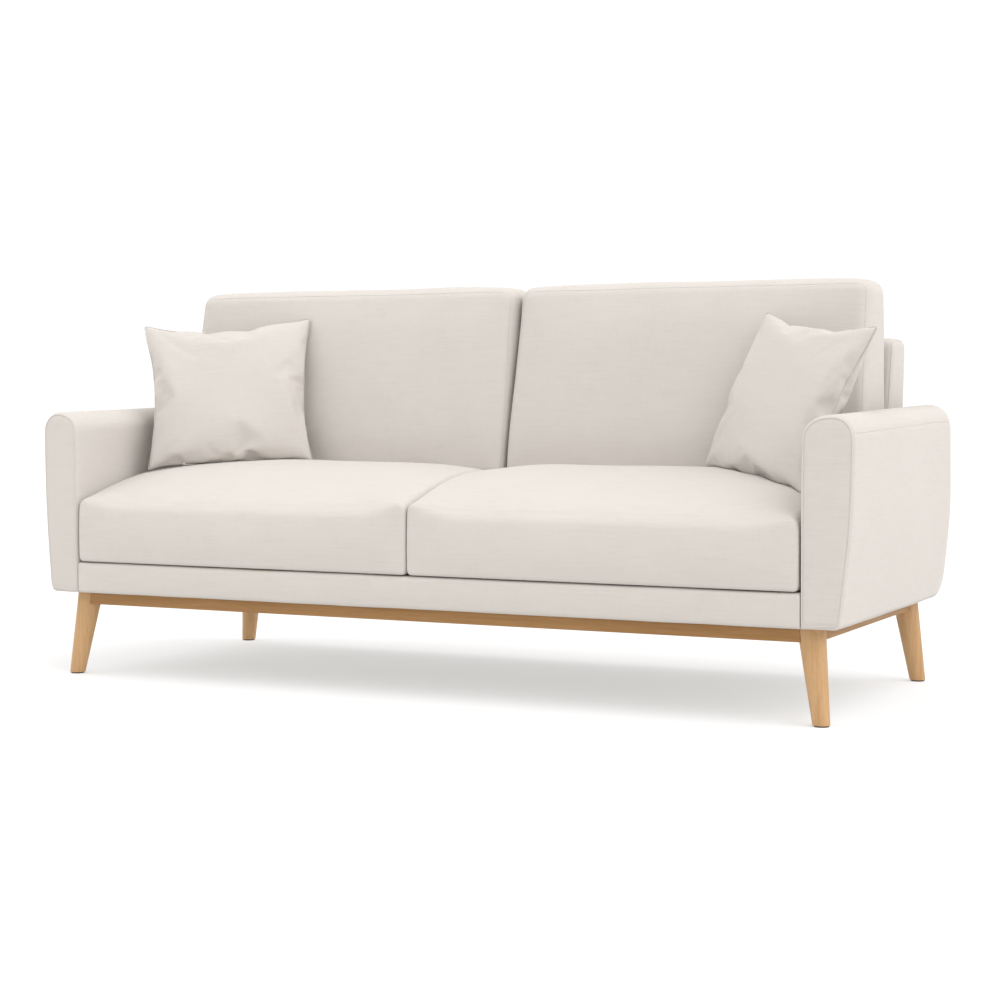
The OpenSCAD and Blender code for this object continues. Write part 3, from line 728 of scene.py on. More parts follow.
def between(low_y, high_y, front, rear):
    """A cage whose front and rear walls lean as front(z) and rear(z) do."""
    def cage(x, y, z):
        share = (y - low_y) / (high_y - low_y)
        return x, front(z) + share * (rear(z) - front(z)), z
    return cage


BACK_CELLS = (130, 14, 40)
back, points, ids = soft_object("back_body", (-BACK_X, BACK_FRONT, BACK_FOOT),
                                (BACK_X, BACK_REAR, BACK_TOP), BACK_CELLS, back_walls, 0.45,
                                between(BACK_FRONT, BACK_REAR, back_front_y, back_rear_y))
made_lumpy(back, points, 9, 0.25, 0.0012)
rims = [[points[i] for i in panel_rim(BACK_CELLS, ids, 0, s)] for s in (0, 1)]
subdivided(back)
tree = tree_of(back)
back_runs = [laid(tree, rim, 0.006, True) for rim in rims]
dented(back, [r[0] for r in back_runs], 0.0008, 0.006)
finish_piece(back, *BODY_LINEN, ("back_cover", "back_foam"), 0.9)
seams("back_side_seams", back_runs, 0.0015, 0.0008, *BODY_LINEN, lift=-0.0006)


def panel_inner_y(z):
    return 0.3286 + 0.047 * (z - 0.190) / 0.552


def rear_panel_walls(x, y, z):
    crown = (1 - (x / 0.84) ** 4) * np.sin(math.pi * np.clip((z - 0.19) / 0.55, 0, 1))
    rear = y - back_rear_y(z) - 0.0022 - 0.0035 * crown
    return ((rear, PANEL_R), (panel_inner_y(z) - y, 0.003), (np.abs(x) - PANEL_X, PANEL_R),
            (z - PANEL_TOP, PANEL_R), (PANEL_FOOT - z, PANEL_R))


PANEL_CELLS = (110, 3, 40)
panel, points, ids = soft_object("back_rear_panel", (-PANEL_X, PANEL_FRONT, PANEL_FOOT),
                                 (PANEL_X, PANEL_REAR, PANEL_TOP), PANEL_CELLS, rear_panel_walls, 0.45,
                                 between(PANEL_FRONT, PANEL_REAR, panel_inner_y, back_rear_y))
made_lumpy(panel, points, 11, 0.3, 0.0012)
rim = [points[i] for i in panel_rim(PANEL_CELLS, ids, 1, 1)]
subdivided(panel)
finish_piece(panel, *BODY_LINEN, (), 0.8)
seams("back_rear_panel_seam", [laid(tree_of(panel), rim, 0.006, True)], 0.0015, 0.0008, *BODY_LINEN)

rail_low, rail_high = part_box("front_rail_cover")
RAIL_X, RAIL_R = rail_high.x + 0.0016, 0.0085


def rail_walls(x, y, z):
    swell = np.sin(math.pi * np.clip((z - SHELL) / 0.071, 0, 1)) * (1 - (x / 0.86) ** 8)
    front = rail_low.y + 0.0035 - y - 0.0030 * swell
    return ((np.abs(x) - RAIL_X, 0.0010), (front, RAIL_R), (y - rail_high.y, 0.003),
            (z - rail_high.z + 0.0005, RAIL_R), (SHELL - z, RAIL_R))


rail, points, ids = soft_object("front_rail", (-RAIL_X, rail_low.y, rail_low.z),
                                (RAIL_X, rail_high.y, rail_high.z), (130, 7, 10), rail_walls, 0.8)
made_lumpy(rail, points, 21, 0.12, 0.0009)
subdivided(rail)
finish_piece(rail, *BODY_LINEN, ("front_rail_cover",), 0.9)

# ---- seat cushions -------------------------------------------------------------
seat_low, seat_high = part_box("seat_cover_right")
SEAT_X1 = seat_high.x
# Where each cushion's inner end lies in front, as if on the right, and how far it drifts towards
# the rear. They meet a little left of the middle in front, and clear of the left back cushion behind
SEAT_INNER = {-1: seat_low.x + 0.0030, 1: seat_low.x - 0.0045}
SEAT_DRIFT = {-1: -0.0115, 1: 0.0155}
CROWN_Y = -0.060
# The height of the flat box that is bent into each seat cushion
SEAT_FORM_TOP = 0.45


def seat_inner(side, y):
    return SEAT_INNER[side] + SEAT_DRIFT[side] * ease(y, -0.28, -0.03)


def seat_top(x, y, side):
    """Height of a seat cushion's top before its edges are rounded."""
    x0 = seat_inner(side, y)
    t = np.clip((x * side - x0) / (SEAT_X1 - x0), 0.0, 1.0)
    droop = (0.004 + 0.012 * t) * (1 - np.sqrt(np.clip(np.sin(math.pi * t), 0, 1)))
    ahead = np.clip((CROWN_Y - y) / (CROWN_Y - FRONT - 0.012), 0, 1)
    behind = np.clip((y - CROWN_Y) / 0.145, 0, 1)
    along = np.where(y < CROWN_Y, 0.421 + 0.059 * np.cos(ahead * math.pi / 2),
                     0.460 + 0.010 * (1 + np.cos(behind * math.pi)))
    return along - droop


def seat_cage(side):
    def cage(x, y, z):
        share = (z - seat_low.z) / (SEAT_FORM_TOP - seat_low.z)
        return x, y, seat_low.z + share * (seat_top(x, y, side) - seat_low.z)
    return cage


def seat_walls(side, inset):
    x1 = SEAT_X1 - inset * 0.2

    def walls(x, y, z):
        x0 = seat_inner(side, y) + inset * 0.2
        top = seat_top(x, y, side) - inset
        x = x * side
        side_r = 0.008 + 0.008 * ease(z, 0.30, 0.40)
        top_r = 0.020 + 0.012 * ease(x - x0, 0, 0.1) * ease(x1 - x, 0, 0.1)
        body = merged((x - x1, side_r), (x0 - x, side_r), ((z - top) * 0.9, top_r),
                      (seat_low.z - z, 0.014 + 0 * z))
        ends = ease(np.minimum(x - x0, x1 - x), -0.01, 0.13)
        edge = 0.007 + 0.053 * ease(z, 0.330, 0.425) * ends
        return ((body, edge), (FRONT + inset * 0.5 - y, edge),
                (y - seat_high.y + 0.001 + inset * 0.3, 0.015))
    return walls


SEAM_STEP = 0.007
# How firmly the cushions' cloth is held while they are blown up, over the faces and at the seams,
# and the pressure, the frames, the furthest move in metres and the smoothing of that move
FACE_HOLD, SEAM_HOLD = 0.04, 0.85
CUSHION_PUFF, CUSHION_CALM = (4.0, 20, 0.012), 0.75
SEAT_CELLS = (84, 58, 20)
seats = {}
for side, word in SIDES:
    xs = sorted((side * SEAT_INNER[side], side * SEAT_X1))
    inset = 0.002
    seat, points, ids = soft_object(f"seat_cushion_{word}", (xs[0], FRONT, seat_low.z),
                                    (xs[1], seat_high.y, SEAT_FORM_TOP), SEAT_CELLS,
                                    seat_walls(side, inset), 0.45, seat_cage(side))
    hold = np.full(len(points), FACE_HOLD)
    hold[points[:, 2] < seat_low.z + 0.0015] = 1.0
    gripped(hold, SEAT_CELLS, ids, ((2, 1), (2, 0), (1, 0), (1, 1)), SEAM_HOLD)
    puff(seat, hold, *CUSHION_PUFF, calm=CUSHION_CALM)
    co = coords(seat)
    uneven = lumps(co, 31 + side, 0.17, 0.0030) * ease(co[:, 2], 0.27, 0.33)
    co += normals_of(seat) * uneven[:, None]
    co[:, 0] = side * np.clip(co[:, 0] * side, seat_inner(side, co[:, 1]) - 0.0002, SEAT_X1 + 0.0002)
    co[:, 1] = np.clip(co[:, 1], FRONT - 0.006, seat_high.y)
    co[:, 2] = np.maximum(co[:, 2], seat_low.z)
    set_coords(seat, co)
    rim = co[panel_rim(SEAT_CELLS, ids, 2, 1)]
    subdivided(seat)
    run = laid(tree_of(seat), rim, SEAM_STEP, True, 6)
    dented(seat, [run[0]], 0.0003, 0.007)
    look = (MATS["linen_seat"], f"seat_cushion_{word}", "linen_seat")
    finish_piece(seat, *look, (f"seat_cover_{word}", f"seat_core_{word}"), 0.85)
    seams(f"seat_cushion_{word}_seam", [run], 0.0010, 0.00025, *look, 6, -0.0004)
    seats[word] = seat

# ---- back cushions -------------------------------------------------------------
lounge_low, lounge_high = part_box("back_cushion_cover_right")
# How far each cushion's two ends are moved from those of its CAD solid, in X
LOUNGE_SHIFT = {"left": (-0.010, 0.010), "right": (0.011, -0.002)}


def lounge_walls(x0, x1, inset):
    def walls(x, y, z):
        limit = seat_half - 0.003 + 0.020 * ease(z, 0.61, 0.72)
        low, high = np.maximum(x0, -limit) + inset * 0.4, np.minimum(x1, limit) - inset * 0.4
        front = (lounge_front_y(z) - y) * 0.985
        crown = 1 - ((2 * x - x0 - x1) / (x1 - x0)) ** 4
        top = z - lounge_high.z - 0.0045 * crown
        profile = rounded(0.026, front + inset, y - lounge_high.y + inset * 0.3, top + inset * 0.4)
        r = 0.014 + 0.018 * ease(z, 0.55, 0.86)
        return ((x - high, r), (low - x, r), (profile, r + 0.002), (lounge_low.z - z, 0.016))
    return walls


def lounge_front_y(z):
    return 0.031 + 0.076 * (z - lounge_low.z) / (lounge_high.z - lounge_low.z)


LOUNGE_CELLS = (78, 17, 42)
# The front of the upright box that is bent into each back cushion
LOUNGE_FORM_Y = 0.045
lounges = {}
for side, word in SIDES:
    xs = sorted((side * lounge_low.x, side * lounge_high.x))
    xs = [x + d for x, d in zip(xs, LOUNGE_SHIFT[word])]
    inset = 0.003
    cage = between(LOUNGE_FORM_Y, lounge_high.y, lounge_front_y, lambda z: lounge_high.y + 0 * z)
    lounge, points, ids = soft_object(f"back_cushion_{word}", (xs[0], LOUNGE_FORM_Y, lounge_low.z),
                                      (xs[1], lounge_high.y, lounge_high.z), LOUNGE_CELLS,
                                      lounge_walls(*xs, inset), 0.45, cage)
    hold = np.full(len(points), FACE_HOLD)
    hold[points[:, 1] > lounge_high.y - 0.004] = 0.6
    hold[points[:, 2] < lounge_low.z + 0.002] = 1.0
    gripped(hold, LOUNGE_CELLS, ids, ((1, 0), (1, 1)), SEAM_HOLD)
    puff(lounge, hold, *CUSHION_PUFF, calm=CUSHION_CALM)
    co = coords(lounge)
    uneven = lumps(co, 41 + side, 0.19, 0.0034) * ease(co[:, 2], 0.46, 0.52)
    co += normals_of(lounge) * uneven[:, None]
    co[:, 0] = np.clip(co[:, 0], xs[0] - 0.001, xs[1] + 0.001)
    co[:, 1] = np.minimum(co[:, 1], lounge_high.y)
    co[:, 2] = np.maximum(co[:, 2], lounge_low.z)
    set_coords(lounge, co)
    rims = [co[panel_rim(LOUNGE_CELLS, ids, 1, s)] for s in (0, 1)]
    subdivided(lounge)
    tree = tree_of(lounge)
    runs = [laid(tree, rim, SEAM_STEP, True, 4) for rim in rims]
    dented(lounge, [r[0] for r in runs], 0.0004, 0.007)
    look = (MATS["linen_back"], f"back_cushion_{word}", "linen_back")
    finish_piece(lounge, *look, (f"back_cushion_cover_{word}", f"back_cushion_core_{word}"), 0.85)
    seams(f"back_cushion_{word}_seams", runs, 0.0011, 0.0003, *look, 6, -0.0003)
    lounges[word] = lounge

# ---- throw pillows -------------------------------------------------------------
PILLOW_W, PILLOW_H, PILLOW_T = 0.390, 0.365, 0.108
# The flat size of each of a pillow's two panels, and the pressure, frames and limits of its blowing up
SEWN_W, SEWN_H = 0.425, 0.400
PILLOW_PUFF = (3.0, 36, 0.2, 20.0, 0.15)
PILLOW_FOOT = -0.1700
# How far each pillow leans over sideways at its top, how much wider it is than its CAD solid,
# and how it settles
SLUMP = {"left": (0.000, 1.02, (0.002, 0.0, -0.005)), "right": (0.016, 1.04, (0.006, 0.0, -0.004))}
LEAN = 20.0
PILLOWS = {"left": ((-0.668, -0.062, 0.650), -27.0, 3.0),
           "right": ((0.715, -0.094, 0.634), 36.0, -7.0)}


def turned(angle, axis):
    return Matrix.Rotation(math.radians(angle), 4, axis)


def pillow_place(word):
    centre, yaw, roll = PILLOWS[word]
    return (Matrix.Translation(Vector(centre) + Vector(SLUMP[word][2])) @ turned(-yaw, "Z")
            @ turned(-LEAN, "X") @ turned(-roll, "Y"))


def pillow_form(nx, nz, w, h):
    """Two cloth panels sewn together at their edges, laid flat on each other."""
    xs, zs = np.linspace(-w / 2, w / 2, nx + 1), np.linspace(-h / 2, h / 2, nz + 1)
    points, faces, uvs, ids = [], [], [], {}

    def corner(i, j, layer):
        rim = i in (0, nx) or j in (0, nz)
        key = (i, j, 0 if rim else layer)
        if key not in ids:
            ids[key] = len(points)
            points.append((xs[i], 0.0 if rim else layer * 0.004, zs[j]))
        return ids[key]

    for layer in (-1, 1):
        for i in range(nx):
            for j in range(nz):
                loop = [(i, j), (i + 1, j), (i + 1, j + 1), (i, j + 1)]
                loop = loop if layer < 0 else loop[::-1]
                faces.append([corner(a, b, layer) for a, b in loop])
                uvs += [(xs[a], zs[b]) for a, b in loop]
    rim = ([corner(i, 0, 0) for i in range(nx)] + [corner(nx, j, 0) for j in range(nz)]
           + [corner(i, nz, 0) for i in range(nx, 0, -1)] + [corner(0, j, 0) for j in range(nz, 0, -1)])
    corners = [corner(i, j, 0) for i, j in ((0, 0), (nx, 0), (nx, nz), (0, nz))]
    return np.array(points), faces, uvs, rim, corners


def kept_clear(obj, others, gap, times=3, deep=0.05):
    """Moves points that lie inside or too near other pieces out to their surfaces."""
    trees = [tree_of(o) for o in others]
    co = coords(obj)
    for _ in range(times):
        for tree in trees:
            for i, p in enumerate(co):
                at, normal, _, _ = tree.find_nearest(Vector(p), deep)
                if at is None:
                    continue
                out = (Vector(p) - at).dot(normal)
                if out < gap:
                    co[i] = at + normal * gap
    set_coords(obj, co)


def pressed(obj, weight, gap, deep=0.012):
    """Lowers the top of obj where another piece rests on it."""
    tree, co = tree_of(weight), coords(obj)
    over = coords(weight)
    low, high = over.min(0) - 0.005, over.max(0) + 0.005
    near = np.nonzero((co[:, :2] > low[:2]).all(1) & (co[:, :2] < high[:2]).all(1)
                      & (co[:, 2] > low[2] - 0.02))[0]
    down = np.zeros((len(co), 1))
    for i in near:
        x, y, z = co[i]
        hit = tree.ray_cast(Vector((x, y, z - 0.05)), Vector((0, 0, 1)), 0.05 + gap)[0]
        if hit:
            down[i] = min(z + gap - hit.z, deep)
    down = np.maximum(down, spread(obj, down, 12))
    co[:, 2] -= down[:, 0]
    set_coords(obj, co)


for side, word in SIDES:
    points, faces, uvs, rim, corners = pillow_form(48, 45, SEWN_W, SEWN_H)
    wave = lumps(points, 51 + side, 0.09, 0.0025)
    points[:, 1] += np.where(points[:, 1] != 0, wave, 0)
    pillow = make_object(f"throw_pillow_{word}", points, faces, uvs)
    puff(pillow, np.zeros(len(points)), *PILLOW_PUFF)
    co = coords(pillow)
    fixed = np.isin(rim, corners)[:, None]
    for _ in range(14):
        edge = co[rim]
        co[rim] = np.where(fixed, edge, edge / 2 + (np.roll(edge, 1, 0) + np.roll(edge, -1, 0)) / 4)
    co -= co[corners].mean(0)
    wide = (co[corners[1], 0] + co[corners[2], 0] - co[corners[0], 0] - co[corners[3], 0]) / 2
    tall = (co[corners[2], 2] + co[corners[3], 2] - co[corners[0], 2] - co[corners[1], 2]) / 2
    thick = co[:, 1].max() - co[:, 1].min()
    co *= np.array([PILLOW_W / wide, PILLOW_T / thick, PILLOW_H / tall])
    foot = co[[i for i in rim if points[i, 2] < -0.199]]
    order = np.argsort(foot[:, 0])
    near = ease(-co[:, 2], 0.070, 0.150) * (1 - ease(np.abs(co[:, 0]), 0.112, 0.192))
    for axis, aim in ((1, 0.0), (2, PILLOW_FOOT)):
        co[:, axis] += near * (aim - np.interp(co[:, 0], foot[order, 0], foot[order, axis]))
    lean, wider, _ = SLUMP[word]
    co[:, 0] = (co[:, 0] * (1 + (wider - 1) * ease(co[:, 2], -0.14, 0.05))
                + lean * ease(co[:, 2], -0.15, 0.25) * 1.3)
    place = np.array(pillow_place(word))
    co = co @ place[:3, :3].T + place[:3, 3]
    set_coords(pillow, co)
    kept_clear(pillow, [lounges[word], arms[word]], 0.0012)
    pressed(seats[word], pillow, 0.0008)
    kept_clear(pillow, [seats[word], lounges[word], arms[word]], 0.0006, 1)
    rim_path = coords(pillow)[rim]
    subdivided(pillow)
    run_points = smoothed(resampled(rim_path, 0.006, True), True, 2)
    middle = run_points.mean(0)
    ways = run_points - middle
    ways /= np.linalg.norm(ways, axis=1, keepdims=True)
    look = (MATS["linen_pillow"], f"throw_pillow_{word}", "linen_pillow")
    finish_piece(pillow, *look, (f"pillow_cover_{word}", f"pillow_insert_{word}"), 0.7)
    seams(f"throw_pillow_{word}_edge", [(run_points, ways, True)], 0.0011, 0.0011, *look, 6)

# ---- deck under the cushions, and the dust cover under the frame -----------------
def cloth_sheet(name, low_x, high_x, low_y, high_y, cells, height):
    """A single layer of cloth over a rectangle, at height(x, y)."""
    xs, ys = np.linspace(low_x, high_x, cells[0] + 1), np.linspace(low_y, high_y, cells[1] + 1)
    points = [(x, y, height(x, y)) for x in xs for y in ys]
    row = cells[1] + 1
    faces = [(i * row + j, (i + 1) * row + j, (i + 1) * row + j + 1, i * row + j + 1)
             for i in range(cells[0]) for j in range(cells[1])]
    return make_object(name, points, faces, [points[v][:2] for face in faces for v in face])


def sagging(low, high, top, sag, seed):
    """Height of a cloth held at its edges, with a little unevenness."""
    def height(x, y):
        u = (2 * x - low.x - high.x) / (high.x - low.x)
        v = (2 * y - low.y - high.y) / (high.y - low.y)
        held = (1 - u ** 8) * (1 - v ** 4)
        wave = noise.noise(Vector((x * 7, y * 7, seed)))
        return top - held * (sag + 0.0012 * wave)
    return height


pad_low, pad_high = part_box("deck_pad")


def pad_walls(x, y, z):
    top = pad_high.z - 0.0012 - 0.0040 * (1 - (x / pad_high.x) ** 8)
    return ((np.abs(x) - pad_high.x, 0.004), (y - pad_high.y, 0.004), (pad_low.y - y, 0.004),
            (z - top, 0.004), (pad_low.z - z, 0.004))


deck_pad = soft_object("deck_padding", pad_low, pad_high, (90, 30, 3), pad_walls, 0.5)[0]
finish_piece(deck_pad, MATS["felt"], "sofa_frame", "felt", ("deck_pad",), 0.6)

deck_low, deck_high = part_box("deck_cloth")
deck = cloth_sheet("deck_cloth_cover", deck_low.x, deck_high.x, deck_low.y, deck_high.y, (120, 40),
                   sagging(deck_low, deck_high, deck_high.z - 0.0003, 0.0016, 2.0))
finish_piece(deck, MATS["deck_linen"], "sofa_frame", "linen_body", ("deck_cloth",))
tree = tree_of(deck)
deck_hem = [laid(tree, [(x, y, deck_high.z) for x in np.linspace(deck_low.x, deck_high.x, 80)], 0.008)
            for y in (deck_low.y + 0.004, deck_low.y + 0.070)]
hem = seams("deck_seams", deck_hem, 0.0015, 0.0005, MATS["deck_linen"], "sofa_frame", "linen_body", 6)

dust_low, dust_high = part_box("dust_cover")
dust = cloth_sheet("underside_cloth", dust_low.x, dust_high.x, dust_low.y, dust_high.y, (120, 50),
                   sagging(dust_low, dust_high, dust_high.z - 0.0003, 0.0060, 5.0))
finish_piece(dust, MATS["underlining"], "sofa_frame", "underlining", ("dust_cover",))


def wire_staples(name, spots, crown, wire):
    """Crowns of staples under a cloth: short bars with turned-up ends, each at a place and heading."""
    points, faces = [], []
    profile = [(-crown / 2, 0.003), (-crown / 2, -wire), (crown / 2, -wire), (crown / 2, 0.003)]
    for (x, y, z), (dx, dy) in spots:
        start = len(points)
        for along, up in profile:
            for a in range(6):
                turn = 2 * math.pi * a / 6
                out, rise = wire * math.cos(turn), wire * math.sin(turn)
                at = along - math.copysign(1.0, along) * rise
                points.append((x + dx * at - dy * out, y + dy * at + dx * out,
                               z + up + (rise if up < 0 else 0.0)))
        for i in range(3):
            for k in range(6):
                n = (k + 1) % 6
                a, b = start + i * 6, start + (i + 1) * 6
                faces.append((a + k, a + n, b + n, b + k))
        faces += [tuple(start + k for k in range(6))[::-1], tuple(start + 18 + k for k in range(6))]
    obj = make_object(name, points, faces, [(0.0, 0.0)] * sum(len(f) for f in faces))
    outward(obj)
    return finish_piece(obj, MATS["steel"], "sofa_frame", "steel")


INSET = 0.009
spots = []
for y in (dust_low.y + INSET, dust_high.y - INSET):
    spots += [((x, y, dust_low.z + 0.0006), (1.0, 0.0)) for x in np.linspace(-0.76, 0.76, 30)]
for x in (dust_low.x + INSET, dust_high.x - INSET):
    spots += [((x, y, dust_low.z + 0.0006), (0.0, 1.0)) for y in np.linspace(-0.25, 0.25, 10)]
staples = wire_staples("underside_staples", spots, 0.010, 0.0005)


# ---- zips and their sliders -------------------------------------------------------
class Kit:
    """Collects the points and faces of a small fitting made of several closed shapes."""

    def __init__(self):
        self.points, self.faces = [], []

    def rings(self, rings, closed=False):
        """Joins rings of equal length into a tube, capped at both ends unless it closes on itself."""
        start, count, n = len(self.points), len(rings), len(rings[0])
        self.points += [tuple(p) for ring in rings for p in ring]
        for i in range(count if closed else count - 1):
            a, b = start + i * n, start + (i + 1) % count * n
            self.faces += [(a + k, a + (k + 1) % n, b + (k + 1) % n, b + k) for k in range(n)]
        if not closed:
            self.faces.append(tuple(start + k for k in range(n))[::-1])
            self.faces.append(tuple(start + (count - 1) * n + k for k in range(n)))

    def plate(self, outline, low, high, edge):
        """A flat plate with eased edges: an outline in its first two axes, between two heights."""
        outline = np.array(outline, float)
        middle = outline.mean(0)
        small = middle + (outline - middle) * (1 - edge / np.abs(outline - middle).max(0).min())
        self.rings([[(x, y, z) for x, y in shape] for shape, z in
                    ((small, low), (outline, low + edge), (outline, high - edge), (small, high))])

    def made(self, name, place, material, body, slot, node):
        points = [place @ Vector(p) for p in self.points]
        obj = make_object(name, points, self.faces,
                          [(self.points[v][0], self.points[v][1]) for f in self.faces for v in f])
        obj.data.polygons.foreach_set("use_smooth", [False] * len(obj.data.polygons))
        outward(obj)
        return finish_piece(obj, material, body, slot, (node,))


def stadium(x0, x1, half, turns=7):
    """A straight-sided outline with a half round at each end."""
    return ([(x1 - half + half * math.cos(a), half * math.sin(a))
             for a in np.radians(np.linspace(-90, 90, turns))]
            + [(x0 + half - half * math.cos(a), half * math.sin(a))
               for a in np.radians(np.linspace(90, -90, turns))])


def zip_closed(length, tape_w, pitch=0.0024):
    """A closed zip along x from 0, facing +z: two flat tapes with a narrow gap between them, and the
    coil's teeth.
    """
    kit = Kit()
    for sign in (-1, 1):
        rings = []
        for x in np.linspace(0, length, 60):
            rings.append([(x, sign * y, z) for y, z in ((0.0006, 0.0004), (tape_w, 0.0004),
                                                        (tape_w, -0.0004), (0.0006, -0.0004))][::-sign])
        kit.rings(rings)
    for i in range(int(length / pitch) - 1):
        x = (i + 1) * pitch
        side = 0.0007 if i % 2 else -0.0007
        kit.plate([(x - 0.00075, side - 0.0012), (x + 0.00075, side - 0.0012),
                   (x + 0.00075, side + 0.0012), (x - 0.00075, side + 0.0012)], 0.0003, 0.0013, 0.0003)
    return kit


def zip_slider(width, lift, tab_from, tab_way, tab_l, tab_w):
    """A slider along x from 0, facing +z, with its pull tab along tab_way from tab_from."""
    kit = Kit()
    half = width / 2
    shield = [(0.0010, -half * 0.72), (0.0065, -half), (0.0125, -half * 0.9), (0.0140, -half * 0.5),
              (0.0140, half * 0.5), (0.0125, half * 0.9), (0.0065, half), (0.0010, half * 0.72),
              (0.0, half * 0.4), (0.0, -half * 0.4)]
    kit.plate(shield, lift, lift + 0.0012, 0.0004)
    for sign in (-1, 1):
        kit.plate([(0.0030, sign * half * 0.98), (0.0120, sign * half * 0.98),
                   (0.0120, sign * half * 0.72), (0.0030, sign * half * 0.72)][::-sign],
                  lift - 0.0012, lift + 0.0002, 0.0002)
    bridge = []
    for a in np.radians(np.linspace(0, 180, 9)):
        way = Vector((math.cos(a), 0, math.sin(a) * 0.45))
        at = Vector((0.0072, 0, lift + 0.0009)) + way * 0.0045
        out = Vector((math.cos(a), 0, math.sin(a)))
        bridge.append([at + out * 0.00055 * math.cos(t) + Vector((0, 1, 0)) * 0.0009 * math.sin(t)
                       for t in np.radians(np.arange(0, 360, 60))])
    kit.rings(bridge)
    # the tab: a plate with rounded ends and a hole for the bridge
    turn = Matrix.Rotation(math.atan2(tab_way[1], tab_way[0]), 4, "Z")
    outer = stadium(-0.0030, tab_l, tab_w / 2)
    hole = stadium(-0.0016, 0.0042, tab_w / 2 - 0.0012)
    low, high = lift + 0.0013, lift + 0.0024
    rings = []
    for shape, z in ((outer, low), (outer, high), (hole, high), (hole, low)):
        rings.append([Vector((tab_from[0], tab_from[1], 0)) + turn @ Vector((x, y, z)) for x, y in shape])
    kit.rings(rings, True)
    return kit


def facing(origin, along, out):
    """Placement whose x runs along, and whose z points out."""
    along, out = Vector(along), Vector(out)
    across = out.cross(along)
    turn = Matrix((along, across, out)).transposed().to_4x4()
    return Matrix.Translation(origin) @ turn


for word in ("left", "right"):
    for kind, rider in (("seat", "seat_cushion"), ("back", "back_cushion")):
        chain_low, chain_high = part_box(f"{kind}_zip_{word}")
        z = (chain_low.z + chain_high.z) / 2
        face = chain_high.y - 0.0010
        place = facing((chain_high.x, face, z), (-1, 0, 0), (0, 1, 0))
        zip_closed(chain_high.x - chain_low.x, 0.0075).made(
            f"{rider}_{word}_zip", place, MATS["zip_tape"], f"{rider}_{word}", "zip_tape",
            f"{kind}_zip_{word}")
        pull_low, pull_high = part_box(f"{kind}_slider_{word}")
        place = facing((pull_high.x, face, z), (-1, 0, 0), (0, 1, 0))
        zip_slider(0.010, 0.0026, (0.0070, 0.0), (0, -1), z - pull_low.z, 0.0056).made(
            f"{rider}_{word}_zip_slider", place, MATS["zip_metal"], f"{kind}_zip_slider_{word}",
            "zip_metal", f"{kind}_slider_{word}")
    side = 1 if word == "left" else -1
    frame_of = pillow_place(word)
    place = frame_of @ facing((-side * 0.1198, 0.0, PILLOW_FOOT), (side, 0, 0), (0, 0, -1))
    zip_closed(0.2396, 0.0055).made(f"throw_pillow_{word}_zip", place, MATS["zip_tape"],
                                    f"throw_pillow_{word}", "zip_tape", f"pillow_zip_{word}")
    place = frame_of @ facing((-side * 0.116, 0.0, PILLOW_FOOT), (side, 0, 0), (0, 0, -1))
    zip_slider(0.008, 0.0016, (0.0085, 0.0), (1, 0), 0.0255, 0.0050).made(
        f"throw_pillow_{word}_zip_slider", place, MATS["zip_metal"], f"pillow_zip_slider_{word}",
        "zip_metal", f"pillow_slider_{word}")

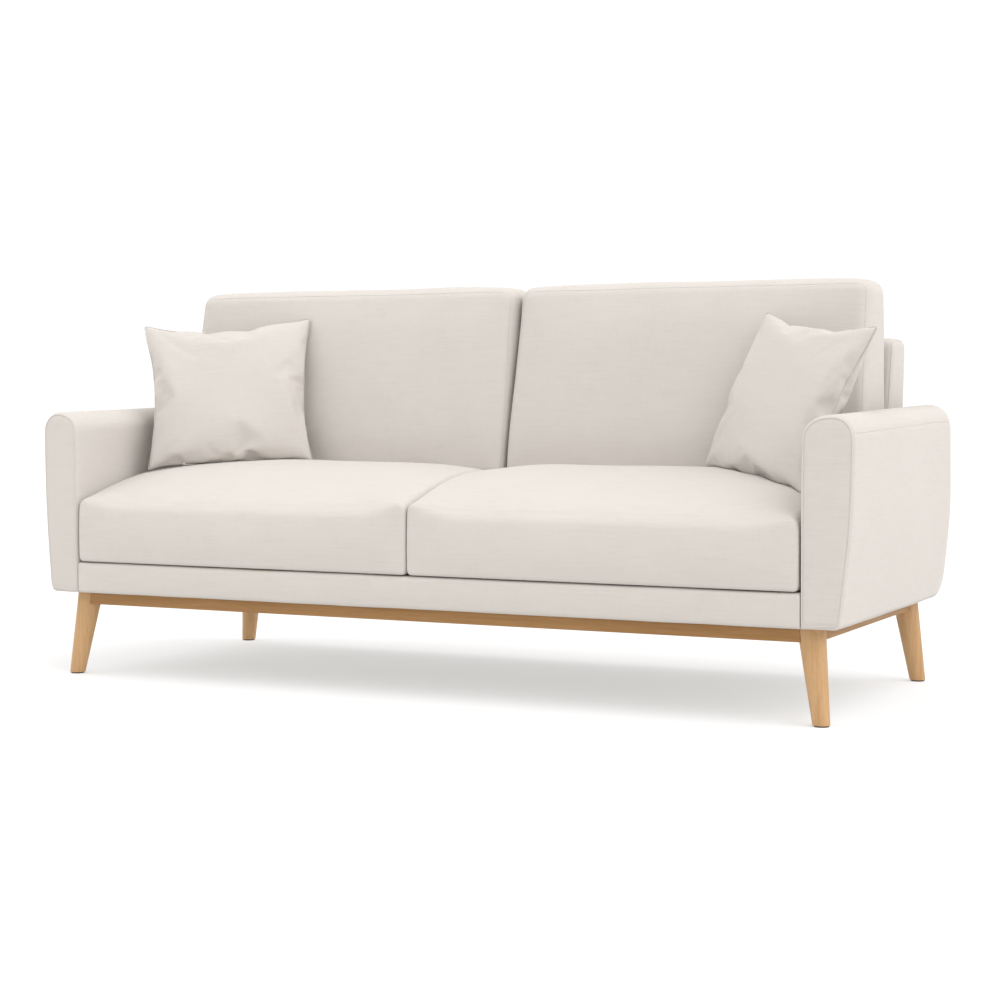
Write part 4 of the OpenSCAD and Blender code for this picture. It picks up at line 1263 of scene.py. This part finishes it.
# ---- wood and hidden parts: CAD nodes with their own finishes --------------------
FINISH = {
    "oak_z": ("leg_front_left", "leg_front_right", "leg_rear_left", "leg_rear_right"),
    "oak_x_painted_shade": ("apron_front", "apron_rear"),
    "oak_y_painted_shade": ("apron_left", "apron_right"),
    "pine_x": ("apron_corner_blocks", "seat_rail_front", "seat_rail_rear", "seat_corner_blocks"),
    "pine_y": ("seat_rail_left", "seat_rail_right", "seat_centre_rail"),
    "pine_z": ("arm_frame_left", "arm_frame_right", "back_frame"),
    "steel": ("leg_bolts", "base_screws", "frame_bolts", "seat_springs", "spring_clips"),
    "glide": ("leg_glides",),
    "webbing": ("back_webbing",),
}
for finish, node in ((finish, node) for finish, nodes in FINISH.items() for node in nodes):
    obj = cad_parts[node]
    obj.data.materials.clear()
    obj.data.materials.append(MATS[finish])
    if node.startswith(("leg_front", "leg_rear", "apron")):
        weld = obj.modifiers.new("Weld", "WELD")
        weld.merge_threshold = 0.00002
        bevel = obj.modifiers.new("Bevel", "BEVEL")
        bevel.width = 0.0016
        bevel.segments = 3
        bevel.limit_method = "ANGLE"
        bevel.angle_limit = math.radians(35)
        obj.data.polygons.foreach_set("use_smooth", [True] * len(obj.data.polygons))

# ---- studio ----------------------------------------------------------------------
floor_tree = Tree("studio floor")
speck = floor_tree.noise(floor_tree.place(), 3.0, 3.0)
floor_tree.set(Base_Color=floor_tree.ramp(speck, ((0.3, (0.495, 0.495, 0.495, 1)),
                                                  (0.7, (0.505, 0.505, 0.505, 1)))), Roughness=0.9,
               Specular_IOR_Level=0.1, Emission_Color=(1.0, 1.0, 1.0, 1.0), Emission_Strength=0.40)
floor_mesh = bpy.data.meshes.new("floor")
floor_mesh.from_pydata([(-60, -60, 0), (60, -60, 0), (60, 60, 0), (-60, 60, 0)], [], [(0, 1, 2, 3)])
floor = bpy.data.objects.new("floor", floor_mesh)
floor_mesh.materials.append(floor_tree.material)
scene.collection.objects.link(floor)

world = bpy.data.worlds.new("studio")
scene.world = world
world.use_nodes = True
world.node_tree.nodes["Background"].inputs[0].default_value = (1.0, 1.0, 1.0, 1.0)
world.node_tree.nodes["Background"].inputs[1].default_value = 1.05


def sun(name, strength, angle, azimuth, height, colour=(1, 1, 1)):
    data = bpy.data.lights.new(name, "SUN")
    data.energy, data.angle, data.color = strength, math.radians(angle), colour
    obj = bpy.data.objects.new(name, data)
    a, h = math.radians(azimuth), math.radians(height)
    aim = Vector((math.sin(a) * math.cos(h), -math.cos(a) * math.cos(h), math.sin(h)))
    obj.rotation_euler = aim.to_track_quat("Z", "Y").to_euler()
    scene.collection.objects.link(obj)


sun("key", 1.85, 70, 79, 48)
sun("fill", 0.85, 70, -70, 42)

scene.view_settings.view_transform = "Standard"
scene.view_settings.look = "None"
scene.view_settings.exposure = 0.0
